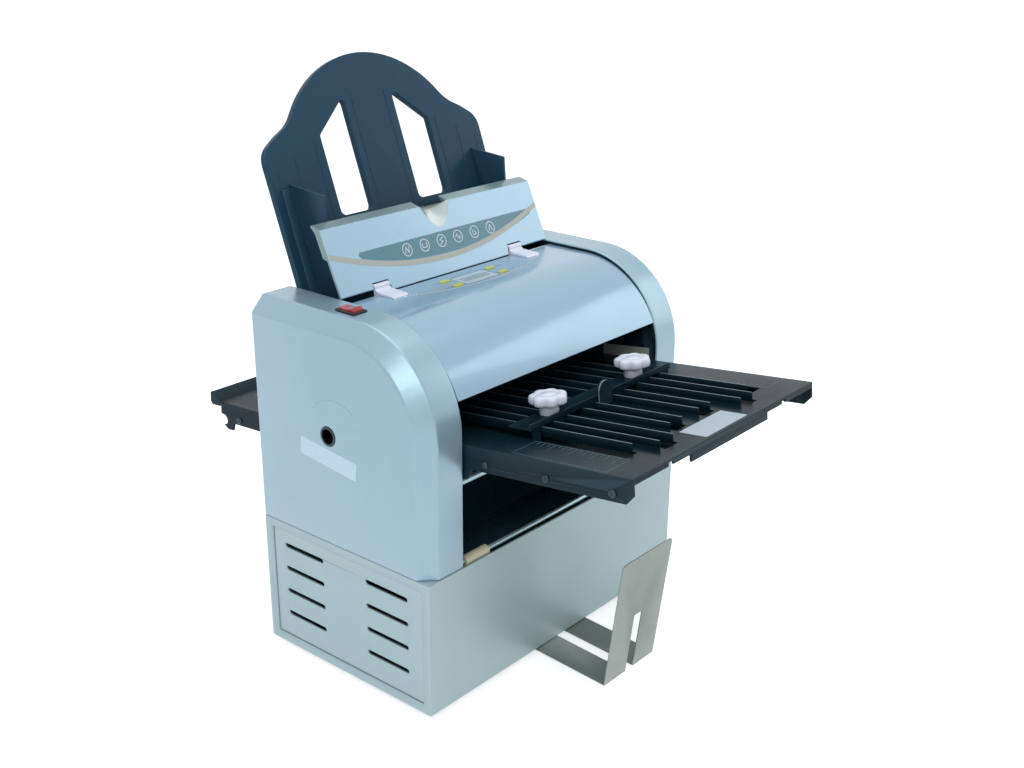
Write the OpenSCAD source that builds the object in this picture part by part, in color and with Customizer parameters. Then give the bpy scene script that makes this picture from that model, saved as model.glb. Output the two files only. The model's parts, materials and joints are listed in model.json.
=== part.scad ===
// Desk paper folding machine: a buckle folder for A4 sheets.
// X runs along the rollers, -Y is the front, Z is up. The desk is at z = 0.

/* [Base] */
// Width of the base, left to right
base_w = 336; // [330:1:350]
// Depth of the base, front to back
base_d = 194; // [190:1:204]
// Height of the base shell's top above the desk
base_top = 125.2; // [120:0.1:135]
// Height of the rubber feet
foot_h = 6.5; // [5:0.5:9]
// Wall of the moulded covers
wall = 2.5; // [2:0.1:3]
// Frame left round the vent panel
panel_lip = 8.4; // [6:0.1:11]
// Length of a vent slot
vent_len = 47.5; // [35:0.5:50]
// Height of a vent slot
vent_h = 4; // [3:0.5:6]

/* [End covers] */
// Height of the end covers' top above the desk
cover_top = 320.5; // [318:0.5:328]
// Radius of the covers' front curve
band_r = 82.3; // [78:0.1:84]
// Height of the front curve's centre
band_z = 238.2; // [236:0.1:244]
// Width of the left end cover
left_w = 41.5; // [40:0.5:48]
// Width of the right end cover
right_w = 34; // [33:0.5:42]
// Bevel on the left cover's outer edge
left_bevel = 13; // [6:0.5:15]
// Bevel on the right cover's outer edge
right_bevel = 4; // [2:0.5:8]

/* [Hood] */
// Height of the hood's flat top above the desk
hood_top = 317; // [314:0.5:318]
// Radius of the hood's curve
hood_r = 84.2; // [82:0.1:86]
// Height of the hood's lower edge
hood_low = 265.3; // [262:0.1:270]
// Distance of the hood's rear edge from the machine's back
hood_in = 67; // [66:0.5:72]
// Play between the hood and the end covers
hood_gap = 0.6; // [0.3:0.1:1.2]

/* [Rollers] */
// Distance between the centres of neighbouring fold rollers
roller_pitch = 17.7; // [17:0.1:18.5]
// Gap at each nip
nip_gap = 0.3; // [0.3:0.05:0.5]
// Distance of the top roller and of the crank hole from the machine's back
roller_in = 86; // [84:0.5:88]
// Height of the top roller and of the crank hole
roller_z = 221.6; // [220:0.1:223]
// Diameter of the roller journals
journal_d = 8; // [6:0.5:9]
// Running clearance of a shaft in its bore, on the radius
run = 0.05; // [0.02:0.01:0.1]
// Teeth on each roller gear
roller_teeth = 15; // [14:1:16]
// Teeth on the feed roller's gear
feed_teeth = 51; // [48:1:53]
// Teeth on the idler gear
idler_teeth = 38; // [34:1:40]
// Teeth on the motor pinion
pinion_teeth = 12; // [12:1:14]
// Width of the gears
gear_w = 7; // [5:0.5:9]
// Diameter of the crank hole
crank_hole_d = 12.6; // [11:0.1:14]
// Diameter of the feed tyres
tyre_d = 32; // [28:0.5:33]

/* [Front fold plate] */
// Height of the plate's face where it leaves the covers
plate1_z = 231; // [229:0.1:232]
// Upward slope of the front plate
plate1_tilt = 6.45; // [5:0.05:8]
// Length of the front plate in front of the base
plate1_out = 156.5; // [150:0.5:165]
// Gap between the top roller and the front plate's inner end
plate1_play = 5.9; // [5:0.1:15]
// Gap between a fold plate and the end covers
plate_gap = 1.95; // [1.5:0.05:4]
// Sheet thickness of the fold plates
sheet = 2; // [1.5:0.1:2.2]
// Depth of the plates' side flanges
flange_h = 20; // [18:0.5:22]
// Depth of the plate face to the lower sheet
channel = 8.2; // [7.5:0.1:9]
// Height of the fins beside the slots
fin_h = 6; // [5:0.1:6.5]

/* [Rear fold plate] */
// Height of the rear plate's face where it leaves the covers
plate2_z = 195.5; // [194:0.1:197]
// Downward slope of the rear plate
plate2_tilt = 3.7; // [2.5:0.05:5]
// Length of the rear plate behind the base
plate2_out = 108.8; // [104:0.1:116]
// Gap between the second roller and the rear plate's inner end
plate2_play = 7.45; // [6:0.05:15]
// Depth of the rear plate's side flanges
flange2_h = 18.4; // [17:0.1:19]

/* [Stops and knobs] */
// Half length of a stop bar
stop_half = 95; // [95:0.5:100]
// Where a stop bar's upright stands along its plate
stop_s = 38; // [36:0.5:42]
// Depth of a stop bar's foot along the plate
stop_foot = 23; // [20:0.5:26]
// Height of a stop bar's upright above the plate
stop_h = 11.5; // [10:0.1:13]
// Distance of a knob from the plate's middle
knob_x = 57; // [55:0.5:59]
// Diameter of a star knob
knob_d = 31.8; // [28:0.1:34]
// Height of a star knob's top above the plate
knob_top = 25; // [23:0.5:27]
// Thickness of a star knob's head
knob_head = 8.4; // [7:0.1:10]
// Diameter of the clamping screw
clamp_d = 5; // [4:0.5:6]

/* [Feed tray and lid] */
// Backward lean of the feed tray
tray_lean = 20.1; // [18:0.1:22]
// Distance of the tray's face from the machine's back, at the covers' top
tray_in = 15.2; // [14:0.1:16]
// Gap between the tray and the end covers
tray_gap = 0.25; // [0.2:0.05:2]
// Sheet thickness of the tray
tray_t = 3; // [2.5:0.1:3.2]
// Length of the tray along its face, above the covers
tray_h = 184.4; // [175:0.1:190]
// Distance of a side guide from the end cover
guide_set = 20.25; // [20:0.25:26]
// How far a side guide stands out from the tray
guide_out = 37; // [34:0.5:38]
// Backward lean of the hopper lid
lid_lean = 23.9; // [23:0.1:25]
// Height of the lid's face, along the lid
lid_h = 56.7; // [50:0.1:57]
// Distance of the lid's foot from the machine's back
lid_in = 63.5; // [63:0.1:65]
// Gap between the lid and the end covers
lid_gap = 0.25; // [0.2:0.05:2]
// Distance of a lid hinge from the middle
hinge_x = 85; // [75:1:95]

/* [Stacker] */
// Width of the folded paper stacker
stacker_w = 71.5; // [60:0.5:90]
// Distance of the stacker's upright in front of the base
stacker_out = 73.8; // [60:0.1:85]
// Height of the stacker's upright, along it
stacker_h = 119; // [90:1:130]
// Width of the stacker's slot
stacker_slot = 11.1; // [9:0.1:14]
// Length of the stacker's floor under the base
stacker_in_len = 117; // [100:1:125]
// Height of the stacker's slot, up its upright
slot_up = 58; // [45:1:70]
// Sheet thickness of the stacker
stacker_t = 1; // [0.8:0.1:1.2]

/* [Hidden] */

$fn = 48;
eps = 0.5;
fit = 0.2;

silver = [0.63, 0.71, 0.75];
hood_blue = [0.67, 0.78, 0.88];
satin_black = [0.08, 0.12, 0.16];
tray_blue = [0.16, 0.27, 0.35];
steel = [0.7, 0.72, 0.74];
white = [0.88, 0.88, 0.94];
cream = [0.85, 0.83, 0.7];
gear_white = [0.86, 0.86, 0.8];
rubber_black = [0.06, 0.06, 0.07];
board_green = [0.1, 0.35, 0.2];

base_front = -base_d / 2;
base_back = base_d / 2;
left_in = -base_w / 2 + left_w;
right_in = base_w / 2 - right_w;
path_x = (left_in + right_in) / 2;
path_half = (right_in - left_in) / 2;
plate_half = path_half - plate_gap;
tray_half = path_half - tray_gap;
lid_half = path_half - lid_gap;
guide_x = path_half - guide_set;
cover_front = base_front + 0.7;
band_y = cover_front + band_r;
roller_y = base_back - roller_in;
hood_back = base_back - hood_in;
tray_y = base_back - tray_in;

// The frame's origin is on the desk, under the middle of the whole machine.
lip_out = 15.1;
reach_front = base_front - plate1_out * cos(plate1_tilt);
reach_back = base_back + (plate2_out + lip_out) * cos(plate2_tilt) - 1.9 * sin(plate2_tilt);
shift_y = -(reach_front + reach_back) / 2;

frame_t = 2.5;
roller_r = (roller_pitch - nip_gap) / 2;
gear_m = roller_pitch / roller_teeth;
journal_r = journal_d / 2;
bush_r = journal_r + 2;
bush_flange_r = bush_r + 1.2;
bush_flange_t = 1.5;
gear_x = right_in + frame_t + bush_flange_t + 0.5;

// Roller centres as [y, z], from the top: each nip points along its fold plate.
exit_tilt = 20;
r1 = [roller_y, roller_z];
r2 = r1 - roller_pitch * [sin(plate1_tilt), cos(plate1_tilt)];
r3 = r2 - roller_pitch * [sin(plate2_tilt), cos(plate2_tilt)];
r4 = r3 - roller_pitch * [-sin(exit_tilt), cos(exit_tilt)];
feed_dir = 46.5;
feed_c = r1 + gear_m * (roller_teeth + feed_teeth) / 2 * [cos(feed_dir), sin(feed_dir)];
idler_dir = -20;
idler_c = r4 + gear_m * (roller_teeth + idler_teeth) / 2 * [cos(idler_dir), sin(idler_dir)];
pinion_dir = -18;
pinion_c = idler_c + gear_m * (idler_teeth + pinion_teeth) / 2 * [cos(pinion_dir), sin(pinion_dir)];

// Turn of each gear, so that its teeth mesh with the one before it.
phase1 = 0;
phase2 = mesh_turn(dir(r1, r2), phase1, roller_teeth, roller_teeth);
phase3 = mesh_turn(dir(r2, r3), phase2, roller_teeth, roller_teeth);
phase4 = mesh_turn(dir(r3, r4), phase3, roller_teeth, roller_teeth);
feed_phase = mesh_turn(feed_dir, phase1, roller_teeth, feed_teeth);
idler_phase = mesh_turn(idler_dir, phase4, roller_teeth, idler_teeth);
pinion_phase = mesh_turn(pinion_dir, idler_phase, idler_teeth, pinion_teeth);

function dir(a, b) = atan2(b[1] - a[1], b[0] - a[0]);
function mesh_turn(line, turn, n_a, n_b) =
    line + 180 + (line - turn) * n_a / n_b - 180 / n_b;

// Involute gear outline
pressure = 20;
tooth_play = 0.12;
function inv_deg(r, rb) =
    r <= rb ? 0 : sqrt(pow(r / rb, 2) - 1) * 180 / PI - atan(sqrt(pow(r / rb, 2) - 1));
function half_tooth(r, n, m) =
    90 / n - tooth_play / (n * m) * 180 / PI
    + inv_deg(n * m / 2, n * m / 2 * cos(pressure)) - inv_deg(r, n * m / 2 * cos(pressure));
function polar(r, a) = [r * cos(a), r * sin(a)];
function flank_radii(n, m) =
    let (root = n * m / 2 - 1.25 * m, base = max(n * m / 2 * cos(pressure), n * m / 2 - 1.25 * m),
        tip = n * m / 2 + 0.9 * m)
    concat([root], [for (i = [0:3]) base + (tip - base) * i / 3]);
function tooth(n, m, a) =
    let (rs = flank_radii(n, m))
    concat([for (r = rs) polar(r, a - half_tooth(r, n, m))],
        [for (i = [len(rs) - 1:-1:0]) polar(rs[i], a + half_tooth(rs[i], n, m))]);
function gear_outline(n, m) = [for (i = [0:n - 1]) each tooth(n, m, 360 * i / n)];
function arc(c, r, a0, a1, n) = [for (i = [0:n]) c + polar(r, a0 + (a1 - a0) * i / n)];

// How far each plate reaches in from the base's front or back
plate1_in = (roller_y - roller_r - plate1_play - base_front) / cos(plate1_tilt);
plate2_in = (base_back - r2[0] - roller_r - plate2_play) / cos(plate2_tilt);

// Fold plate slots as [inner edge, outer edge, front end, has an outer fin]
front_slots = [[12.5, 27.5, plate1_out - 31.5, true], [49, 65, plate1_out - 15.5, true],
    [81, 94.5, plate1_out - 29.5, false]];
rear_slots = [[12.5, 27.5, plate2_out - 16.8, true], [49, 65, plate2_out - 10.8, true],
    [81, 94.5, plate2_out - 16.8, false]];
slot_back = plate1_in - 16;
rear_slot_back = plate2_in - 22;
fin_t = 1.2;
fin_set = 4.5;
rib_h = channel - 4;
lower_t = 1.5;
screw_r = 2;
screw_head_r = 3.5;
screw_head_t = 2;
screw_depth = 13.6;
lower_skirt = 9;
deep_flange = 29;

support_r = 3;
support_set = 4.7;
front_span = 60;
rear_set = 12;
rear_span = 40;
support1_y = cover_front + support_set;
support2_y = support1_y + front_span;
support3_y = base_back - rear_set;
support4_y = support3_y - rear_span;
function plate1_face(y) = plate1_z + (base_front - y) * tan(plate1_tilt);
function plate2_face(y) = plate2_z - (y - base_back) * tan(plate2_tilt);
rest_gap = 0.1;
function under_plate1(y) =
    plate1_face(y) - (deep_flange + support_r + rest_gap) / cos(plate1_tilt);
function under_plate2(y) =
    plate2_face(y) - (flange2_h + support_r + rest_gap) / cos(plate2_tilt);
exit_rod_z = base_top + 0.8;
exit_rod_r = 2.25;
sleeve_r = 4.6;
exit_rod_y = base_front + wall + sleeve_r + 0.3;
sleeve_len = 27.4;
rod_slot = 5;
// Tie rods under the rollers and behind the hood's front
low_tie = [band_y + 40, base_top + 10];
high_tie = [band_y - 30, cover_top - 40];

// Everything is drawn about the base's middle and moved to the frame here.
module placed() translate([0, shift_y, 0]) children();
module box(lo, hi) translate(lo) cube(hi - lo);
// A cylinder along X from x0 to x1 at depth y and height z
module rod(x0, x1, yz, r) translate([x0, yz[0], yz[1]]) rotate([0, 90, 0]) cylinder(r = r, h = x1 - x0);
// A flat [y, z] outline made thick along X
module slab(x0, x1) translate([x0, 0, 0]) rotate([90, 0, 90]) linear_extrude(x1 - x0) children();
// A gear that turns about X
module gear(n, yz, turn, x0, w)
    translate([x0, yz[0], yz[1]]) rotate([90, 0, 90]) rotate(turn)
        linear_extrude(w) polygon(gear_outline(n, gear_m));
// A slot's outline, len long from end to end
module slot_2d(len, h) {
    square([len - h, h], center = true);
    for (s = [-1, 1]) translate([s * (len - h) / 2, 0]) circle(d = h, $fn = 24);
}

// ---- Base ----
panel_y = [base_front + panel_lip, base_back - panel_lip - 0.6];
panel_z = [foot_h + panel_lip, base_top - panel_lip + 0.4];
panel_in = 1.5;
panel_t = 2;
deck_front = exit_rod_y + sleeve_r + 1.2;
deck_back = base_back - 14;
inlet_x = 58 - base_w / 2;
inlet_z = 40;
inlet_w = 27.5;
inlet_h = 20;
module base_shell() color(silver) placed() difference() {
    box([-base_w / 2, base_front, foot_h], [base_w / 2, base_back, base_top]);
    box([-base_w / 2 + wall, base_front + wall, foot_h - eps],
        [base_w / 2 - wall, base_back - wall, base_top - wall]);
    box([-base_w / 2 - eps, panel_y[0], panel_z[0]],
        [-base_w / 2 + wall + eps, panel_y[1], panel_z[1]]);
    box([left_in + 2, base_front + wall, base_top - wall - eps],
        [right_in - 2, deck_back, base_top + eps]);
    box([left_in - rod_slot, base_front + wall, base_top - wall - eps],
        [right_in + rod_slot, exit_rod_y + exit_rod_r + 1, base_top + eps]);
    translate([inlet_x, base_back - wall - eps, inlet_z])
        rotate([-90, 0, 0]) linear_extrude(wall + 2 * eps)
            square([inlet_w + 2 * fit, inlet_h + 2 * fit], center = true);
}

plate_t = 2;
module bottom_plate() color(steel) placed() difference() {
    box([-base_w / 2 + wall + fit, base_front + wall + fit, foot_h],
        [base_w / 2 - wall - fit, base_back - wall - fit, foot_h + plate_t]);
    for (p = foot_places) translate([p[0], p[1], foot_h - eps]) cylinder(r = 2.5, h = plate_t + 2 * eps);
    translate([stacker_x, screw_y, foot_h - eps])
        cylinder(r = shoulder_thread_r + fit / 2, h = plate_t + 2 * eps);
}

foot_r = 11;
foot_places = [for (x = [-1, 1], y = [-1, 1]) [x * (base_w / 2 - 30), y * (base_d / 2 - 32)]];
module rubber_feet() color(rubber_black) placed()
    for (p = foot_places) translate([p[0], p[1], 0]) {
        cylinder(r = foot_r, h = foot_h);
        cylinder(r = 2.4, h = foot_h + plate_t + 1.5);
    }

vent_rows = 4;
vent_pitch = 21.9;
vent_top = base_top - 21.9;
vent_cols = [base_front + 49, base_back - 46.7];
module vent_panel() color(silver) placed() difference() {
    box([-base_w / 2 + panel_in, panel_y[0] + fit, panel_z[0] + fit],
        [-base_w / 2 + panel_in + panel_t, panel_y[1] - fit, panel_z[1] - fit]);
    for (i = [0:vent_rows - 1], y = vent_cols)
        slab(-base_w / 2, -base_w / 2 + panel_in + panel_t + eps)
            translate([y, vent_top - i * vent_pitch]) slot_2d(vent_len, vent_h);
}

// The black deck: a ramp from the last nip down to the exit rod, and a floor behind it
deck_t = 1.5;
ramp_top = [r4[0] - roller_r - 1.5, r4[1] + 3];
ramp_low = [deck_front + 6, base_top + 1];
module exit_deck() color(satin_black) placed() {
    slab(left_in + 2 + fit, right_in - 2 - fit) polygon([[deck_front, base_top - 1], ramp_low,
        [ramp_low[0] + 26, ramp_low[1] + 2], ramp_top, ramp_top + [0, -deck_t * 1.6],
        [ramp_low[0] + 27, ramp_low[1] + 2 - deck_t], [ramp_low[0], ramp_low[1] - deck_t],
        [deck_front, base_top - 1 - deck_t]]);
    box([left_in + 2 + fit, deck_front + 12, base_top - deck_t],
        [right_in - 2 - fit, deck_back - fit, base_top]);
    box([left_in + 2 + fit, deck_front + 12, base_top - eps],
        [right_in - 2 - fit, deck_front + 13.5, ramp_low[1] - 0.6]);
}

// ---- End covers ----
// A solid cover, with x measured outward from its open edge; cut leaves a wall inside it.
module cover_block(w, bevel, cut) {
    r = band_r - cut;
    b = max(bevel - 0.586 * cut, 0.2);
    depth = w - cut;
    front = cover_front + cut;
    back = base_back - cut;
    top = cover_top - cut;
    low = base_top - (cut > 0 ? eps : 0);
    start = cut > 0 ? -eps : 0;
    // straight front
    translate([0, 0, low]) linear_extrude(band_z - low)
        polygon([[start, band_y], [start, front], [depth - b, front], [depth, front + b], [depth, band_y]]);
    // curve
    translate([0, band_y, band_z]) rotate([0, 90, 0]) rotate([0, 0, 180]) rotate_extrude(angle = 90, $fn = 120)
        polygon([[0, start], [r, start], [r, depth - b], [r - b, depth], [0, depth]]);
    // top and back
    translate([0, back, 0]) rotate([90, 0, 0]) linear_extrude(back - band_y)
        polygon([[start, low], [depth, low], [depth, top - b], [depth - b, top], [start, top]]);
}
module cover_shell(w, bevel) difference() {
    cover_block(w, bevel, 0);
    cover_block(w, bevel, wall);
}

bezel_x = -base_w / 2 + 26.4;
bezel_y = 6.7;
bezel_w = 15.2;
bezel_l = 21.4;
bezel_body_w = 13;
bezel_body_l = 19.4;
module left_end_cover() color(silver) placed() difference() {
    translate([left_in, 0, 0]) mirror([1, 0, 0]) cover_shell(left_w, left_bevel);
    rod(-base_w / 2 - eps, -base_w / 2 + wall + eps, r1, crank_hole_d / 2 + bush_wall + run);
    box([bezel_x - bezel_body_w / 2 - fit, bezel_y - bezel_body_l / 2 - fit, cover_top - wall - eps],
        [bezel_x + bezel_body_w / 2 + fit, bezel_y + bezel_body_l / 2 + fit, cover_top + eps]);
}
module right_end_cover() color(silver) placed()
    translate([right_in, 0, 0]) cover_shell(right_w, right_bevel);

bush_wall = 1.2;
crank_bush_len = 14;
module crank_bush() color(steel) placed() difference() {
    union() {
        rod(-base_w / 2, -base_w / 2 + crank_bush_len, r1, crank_hole_d / 2 + bush_wall);
        rod(-base_w / 2 - 0.5, -base_w / 2, r1, crank_hole_d / 2 + bush_wall + 0.8);
    }
    rod(-base_w / 2 - 1, -base_w / 2 + crank_bush_len + 1, r1, crank_hole_d / 2);
}

// Rear panels under and over the rear plate; the upper one has a shelf behind the tray
window_room = 9;
shelf_y = tray_y + 7.5;
module rear_panel(low, high)
    box([left_in + hood_gap, base_back - wall, low], [right_in - hood_gap, base_back, high]);
module rear_cover() color(silver) placed() {
    rear_panel(base_top, plate2_z - flange2_h - window_room);
    rear_panel(plate2_z + fin_h + window_room, hood_top);
    box([left_in + hood_gap, shelf_y, hood_top - wall], [right_in - hood_gap, base_back - wall, hood_top]);
}

// ---- Switch ----
pivot_z = cover_top - 2;
bezel_flange = 1.5;
rocker_half = 5;
rocker_pin = 1.2;
module switch_bezel() color(satin_black) placed() difference() {
    union() {
        box([bezel_x - bezel_w / 2, bezel_y - bezel_l / 2, cover_top],
            [bezel_x + bezel_w / 2, bezel_y + bezel_l / 2, cover_top + bezel_flange]);
        box([bezel_x - bezel_body_w / 2, bezel_y - bezel_body_l / 2, cover_top - 22],
            [bezel_x + bezel_body_w / 2, bezel_y + bezel_body_l / 2, cover_top]);
    }
    box([bezel_x - rocker_half - 0.3, bezel_y - 9, cover_top - 14],
        [bezel_x + rocker_half + 0.3, bezel_y + 9, cover_top + bezel_flange + eps]);
    rod(bezel_x - bezel_body_w / 2 - eps, bezel_x + bezel_body_w / 2 + eps, [bezel_y, pivot_z],
        rocker_pin + run);
}
rocker_tilt = -7;
module power_rocker() color([0.65, 0.2, 0.22]) placed() translate([0, bezel_y, pivot_z]) {
    rotate([rocker_tilt, 0, 0]) slab(bezel_x - rocker_half, bezel_x + rocker_half)
        polygon([[-8.2, 1.2], [-8, 6], [-4, 5], [0, 4.4], [4, 5], [8, 6], [8.2, 1.2], [5, -4], [-5, -4]]);
    rod(bezel_x - rocker_half - 1.2, bezel_x + rocker_half + 1.2, [0, 0], rocker_pin);
}

// ---- Hood and controls ----
hood_c = [band_y, hood_top - hood_r];
hood_front_a = 180 - asin((hood_low - hood_c[1]) / hood_r);
key_y = [hood_back - 13.8, hood_back - 29.4];
key_dx = 28.7;
key_len = 11;
key_wid = 6;
display_y = [hood_back - 32.8, hood_back - 13];
display_half = 19.5;
hopper_drop = 40;
module key_hole_2d(grow) slot_2d(key_len + 2 * grow, key_wid + 2 * grow);
module front_hood() color(hood_blue) placed() {
    difference() {
        slab(left_in + hood_gap, right_in - hood_gap) polygon(concat(
            [[hood_back, hood_top - hopper_drop], [hood_back, hood_top]],
            arc(hood_c, hood_r, 90, hood_front_a, 24),
            arc(hood_c, hood_r - wall, hood_front_a, 90, 24),
            [[hood_back - wall, hood_top - wall], [hood_back - wall, hood_top - hopper_drop]]));
        for (k = key_places) translate([k[0], k[1], hood_top - wall - eps])
            linear_extrude(wall + 2 * eps) key_hole_2d(fit);
        box([path_x - display_half - fit, display_y[0] - fit, hood_top - wall - eps],
            [path_x + display_half + fit, display_y[1] + fit, hood_top + eps]);
    }
    for (x = [-1, 1], y = board_posts) translate([path_x + x * (board_half - 4), y, board_top])
        cylinder(r = 2.5, h = hood_top - wall - board_top);
}
key_places = [for (s = [-1, 1], y = key_y) [path_x + s * key_dx, y]];

board_half = 42;
board_top = hood_top - 12.4;
board_t = 1.6;
board_d = 35;
board_y = [hood_back - wall - 0.5 - board_d, hood_back - wall - 0.5];
board_posts = [board_y[0] + 4, board_y[1] - 4.6];
tact_h = 1.4;
module control_board() color(board_green) placed() {
    box([path_x - board_half, board_y[0], board_top - board_t], [path_x + board_half, board_y[1], board_top]);
    for (k = key_places) box([k[0] - 3, k[1] - 3, board_top], [k[0] + 3, k[1] + 3, board_top + tact_h]);
    box([path_x - display_half + 1, display_y[0] + 1, board_top],
        [path_x + display_half - 1, display_y[1] - 1, hood_top - glass_t]);
}
glass_t = 1.8;
module display_window() color([0.55, 0.7, 0.75]) placed()
    box([path_x - display_half, display_y[0], hood_top - glass_t],
        [path_x + display_half, display_y[1], hood_top + 0.1]);

key_travel = 0.8;
module key(i) color([0.72, 0.76, 0.35]) placed() translate([key_places[i][0], key_places[i][1], 0]) {
    translate([0, 0, hood_top - wall - 2]) linear_extrude(wall + 3) slot_2d(key_len, key_wid);
    translate([0, 0, hood_top - wall - 2]) linear_extrude(1.8)
        slot_2d(key_len + 1.6, key_wid + 1.2);
    stem_low = board_top + tact_h + key_travel;
    translate([0, 0, stem_low]) cylinder(r = 2, h = hood_top - wall - 1 - stem_low);
}
module start_key() key(3);
module stop_key() key(2);
module plus_key() key(1);
module minus_key() key(0);

// ---- Lid ----
// Lid outlines are [depth, height] in the lid's own lean.
lid_foot = [base_back - lid_in, hood_top + 4.1];
lid_axis = [1.5, 2];
lid_slim = 3;
lid_thick = 7;
lid_step = 35;
hinge_r = 1.1;
barrel_r = 2.5;
bay_h = lid_axis[1] + barrel_r + 0.8;
clip_half = 8.5;
// The lid reaches lower between its hinges.
tab_half = hinge_x - clip_half - 2;
tab_drop = 4.4;
// Thumb scoop: a large slanted cylinder, and a notch in the bevel over it
scoop_x = 1.5;
scoop_half = 17.3;
scoop_r = 28.8;
scoop_tilt = 17.7;
scoop_low = lid_h - 20.3;
scoop_up = scoop_r / sin(scoop_tilt);
module lid_frame() translate([path_x, lid_foot[0], lid_foot[1]]) rotate([-lid_lean, 0, 0]) children();
function lid_to_world(p) = lid_foot + [p[0] * cos(lid_lean) + p[1] * sin(lid_lean),
    -p[0] * sin(lid_lean) + p[1] * cos(lid_lean)];
lid_axis_w = lid_to_world(lid_axis);
module hopper_lid() color(hood_blue) placed() lid_frame() difference() {
    union() {
        slab(-lid_half, lid_half) polygon([[0.6, 0], [0, 0.8], [0, lid_h], [8.7, lid_h + 6.9],
            [9.6, lid_h + 5.6], [lid_thick, lid_h - 1], [lid_thick, lid_step], [lid_slim, lid_step - 3],
            [lid_slim, 0.6], [2.4, 0]]);
        slab(-tab_half, tab_half)
            polygon([[0.6, -tab_drop], [0, 0.6 - tab_drop], [0, 1], [lid_slim, 1], [lid_slim, -tab_drop]]);
    }
    translate([scoop_x, 0, scoop_low + scoop_up]) rotate([-scoop_tilt, 0, 0]) translate([0, 0, -scoop_up])
        cylinder(r = scoop_r, h = scoop_up, $fn = 120);
    box([scoop_x - scoop_half, -eps, lid_h + 0.6], [scoop_x + scoop_half, lid_thick + 10, lid_h + 12]);
    // hinge bays
    for (s = [-1, 1]) translate([s * hinge_x, 0, 0]) {
        box([-clip_half - 0.5, -eps, -eps], [clip_half + 0.5, lid_slim + eps, bay_h]);
        rod(-clip_half - 5, clip_half + 5, lid_axis, hinge_r + run / 2);
    }
}
module hinge_pins() color(steel) placed() lid_frame()
    for (s = [-1, 1]) rod(s * hinge_x - clip_half - 4.6, s * hinge_x + clip_half + 4.6, lid_axis, hinge_r);
clip_front = hood_back - 18.5;
module lid_hinges() color(white) placed()
    for (s = [-1, 1]) translate([path_x + s * hinge_x, 0, 0]) difference() {
        union() {
            slab(-clip_half, clip_half) polygon([[clip_front, hood_top], [clip_front + 1.5, hood_top + 2],
                [lid_axis_w[0] - barrel_r - 2.2, hood_top + 2.6],
                [lid_axis_w[0] - barrel_r + 0.6, hood_top + 4.4],
                lid_axis_w, lid_axis_w - [0, barrel_r],
                [hood_back + 5, hood_top - 1.2], [hood_back + 3, hood_top - 5],
                [hood_back + 0.2, hood_top - 5], [hood_back + 0.2, hood_top]]);
            rod(-clip_half, clip_half, lid_axis_w, barrel_r);
        }
        rod(-clip_half - eps, clip_half + eps, lid_axis_w, hinge_r + run);
    }

// ---- Feed tray ----
// Tray outlines are [x, height] along the tray's face; depth is measured forward from the face.
module tray_frame() translate([path_x, tray_y, cover_top]) rotate([-tray_lean, 0, 0]) children();
module on_tray(d0, d1) translate([0, -d0, 0]) rotate([90, 0, 0]) linear_extrude(d1 - d0) children();
tray_low = -40;
tray_top_r = tray_half - 19;
tray_side = tray_h - 80.4;
dome_a = 41.5;
dome_c = [0, tray_h - tray_top_r];
shoulder_points = [[tray_half, 0], [tray_half, tray_side + 9], [tray_half - 19, tray_side + 21.1],
    [tray_half - 35, tray_side + 28.9], polar(tray_top_r, dome_a) + dome_c];
function half_outline() = concat([[0, tray_low], [tray_half - 6, tray_low], [tray_half - 3, -6]],
    rounded(shoulder_points, [0, 18, 30, 40, 0], 6), arc(dome_c, tray_top_r, dome_a, 90, 14));
// A list of points with each corner rounded to the radius beside it
function fillet(a, b, c, r, n) =
    let (u = (a - b) / norm(a - b), v = (c - b) / norm(c - b), half = acos(u * v) / 2,
        m = b + (u + v) / norm(u + v) * r / sin(half),
        p = b + u * r / tan(half) - m, q = b + v * r / tan(half) - m,
        a0 = atan2(p[1], p[0]), turn = (atan2(q[1], q[0]) - a0 + 540) % 360 - 180)
    [for (i = [0:n]) m + polar(r, a0 + turn * i / n)];
function rounded(pts, radii, n) =
    let (k = len(pts))
    [for (i = [0:k - 1]) each radii[i] > 0
        ? fillet(pts[(i + k - 1) % k], pts[i], pts[(i + 1) % k], radii[i], n) : [pts[i]]];
function mirrored(p) = [for (i = [len(p) - 1:-1:0]) [-p[i][0], p[i][1]]];
window_x = [28.8, 65.5];
window_z = [50, 119.3, 148.9];
rack_m = 1.5;
rack_teeth = 16;
rack_r = rack_m * rack_teeth / 2;
rack_c = 24.5;
guide_slot = [guide_x - 42, guide_x + 9];
guide_slot_h = 9;
module paper_tray() color(tray_blue) placed() tray_frame() {
    difference() {
        on_tray(-tray_t, 0) polygon(concat(half_outline(), mirrored(half_outline())));
        for (s = [-1, 1]) {
            on_tray(-tray_t - eps, eps) polygon(rounded([[s * window_x[0], window_z[0]],
                [s * window_x[1], window_z[0]], [s * window_x[1], window_z[1]], [s * window_x[0], window_z[2]]],
                [5, 5, 3, 3], 4));
            on_tray(-tray_t - eps, eps) translate([s * (guide_slot[0] + guide_slot[1]) / 2, rack_c])
                square([guide_slot[1] - guide_slot[0], guide_slot_h], center = true);
        }
    }
    // post for the guides' pinion
    on_tray(-tray_t - 6, -tray_t) translate([0, rack_c]) circle(r = 3);
}

guide_t = 2.5;
guide_h = 84.5;
guide_low = -22;
guide_notch = 5.2;
foot_len = 12;
foot_z = [-19, 81];
neck_half = 4;
neck_c = guide_x + guide_t;
rack_back = [-tray_t - 5, -tray_t - 0.4];
rack_bar = 5;
rack_set = 1.8;
rack_in = 15;
// A rack tooth as [along, out of the pitch line]
tooth_2d = [[-1.75, 2.2], [-0.96, 0], [-0.52, -1.3], [0.52, -1.3], [0.96, 0], [1.75, 2.2]];
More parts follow.
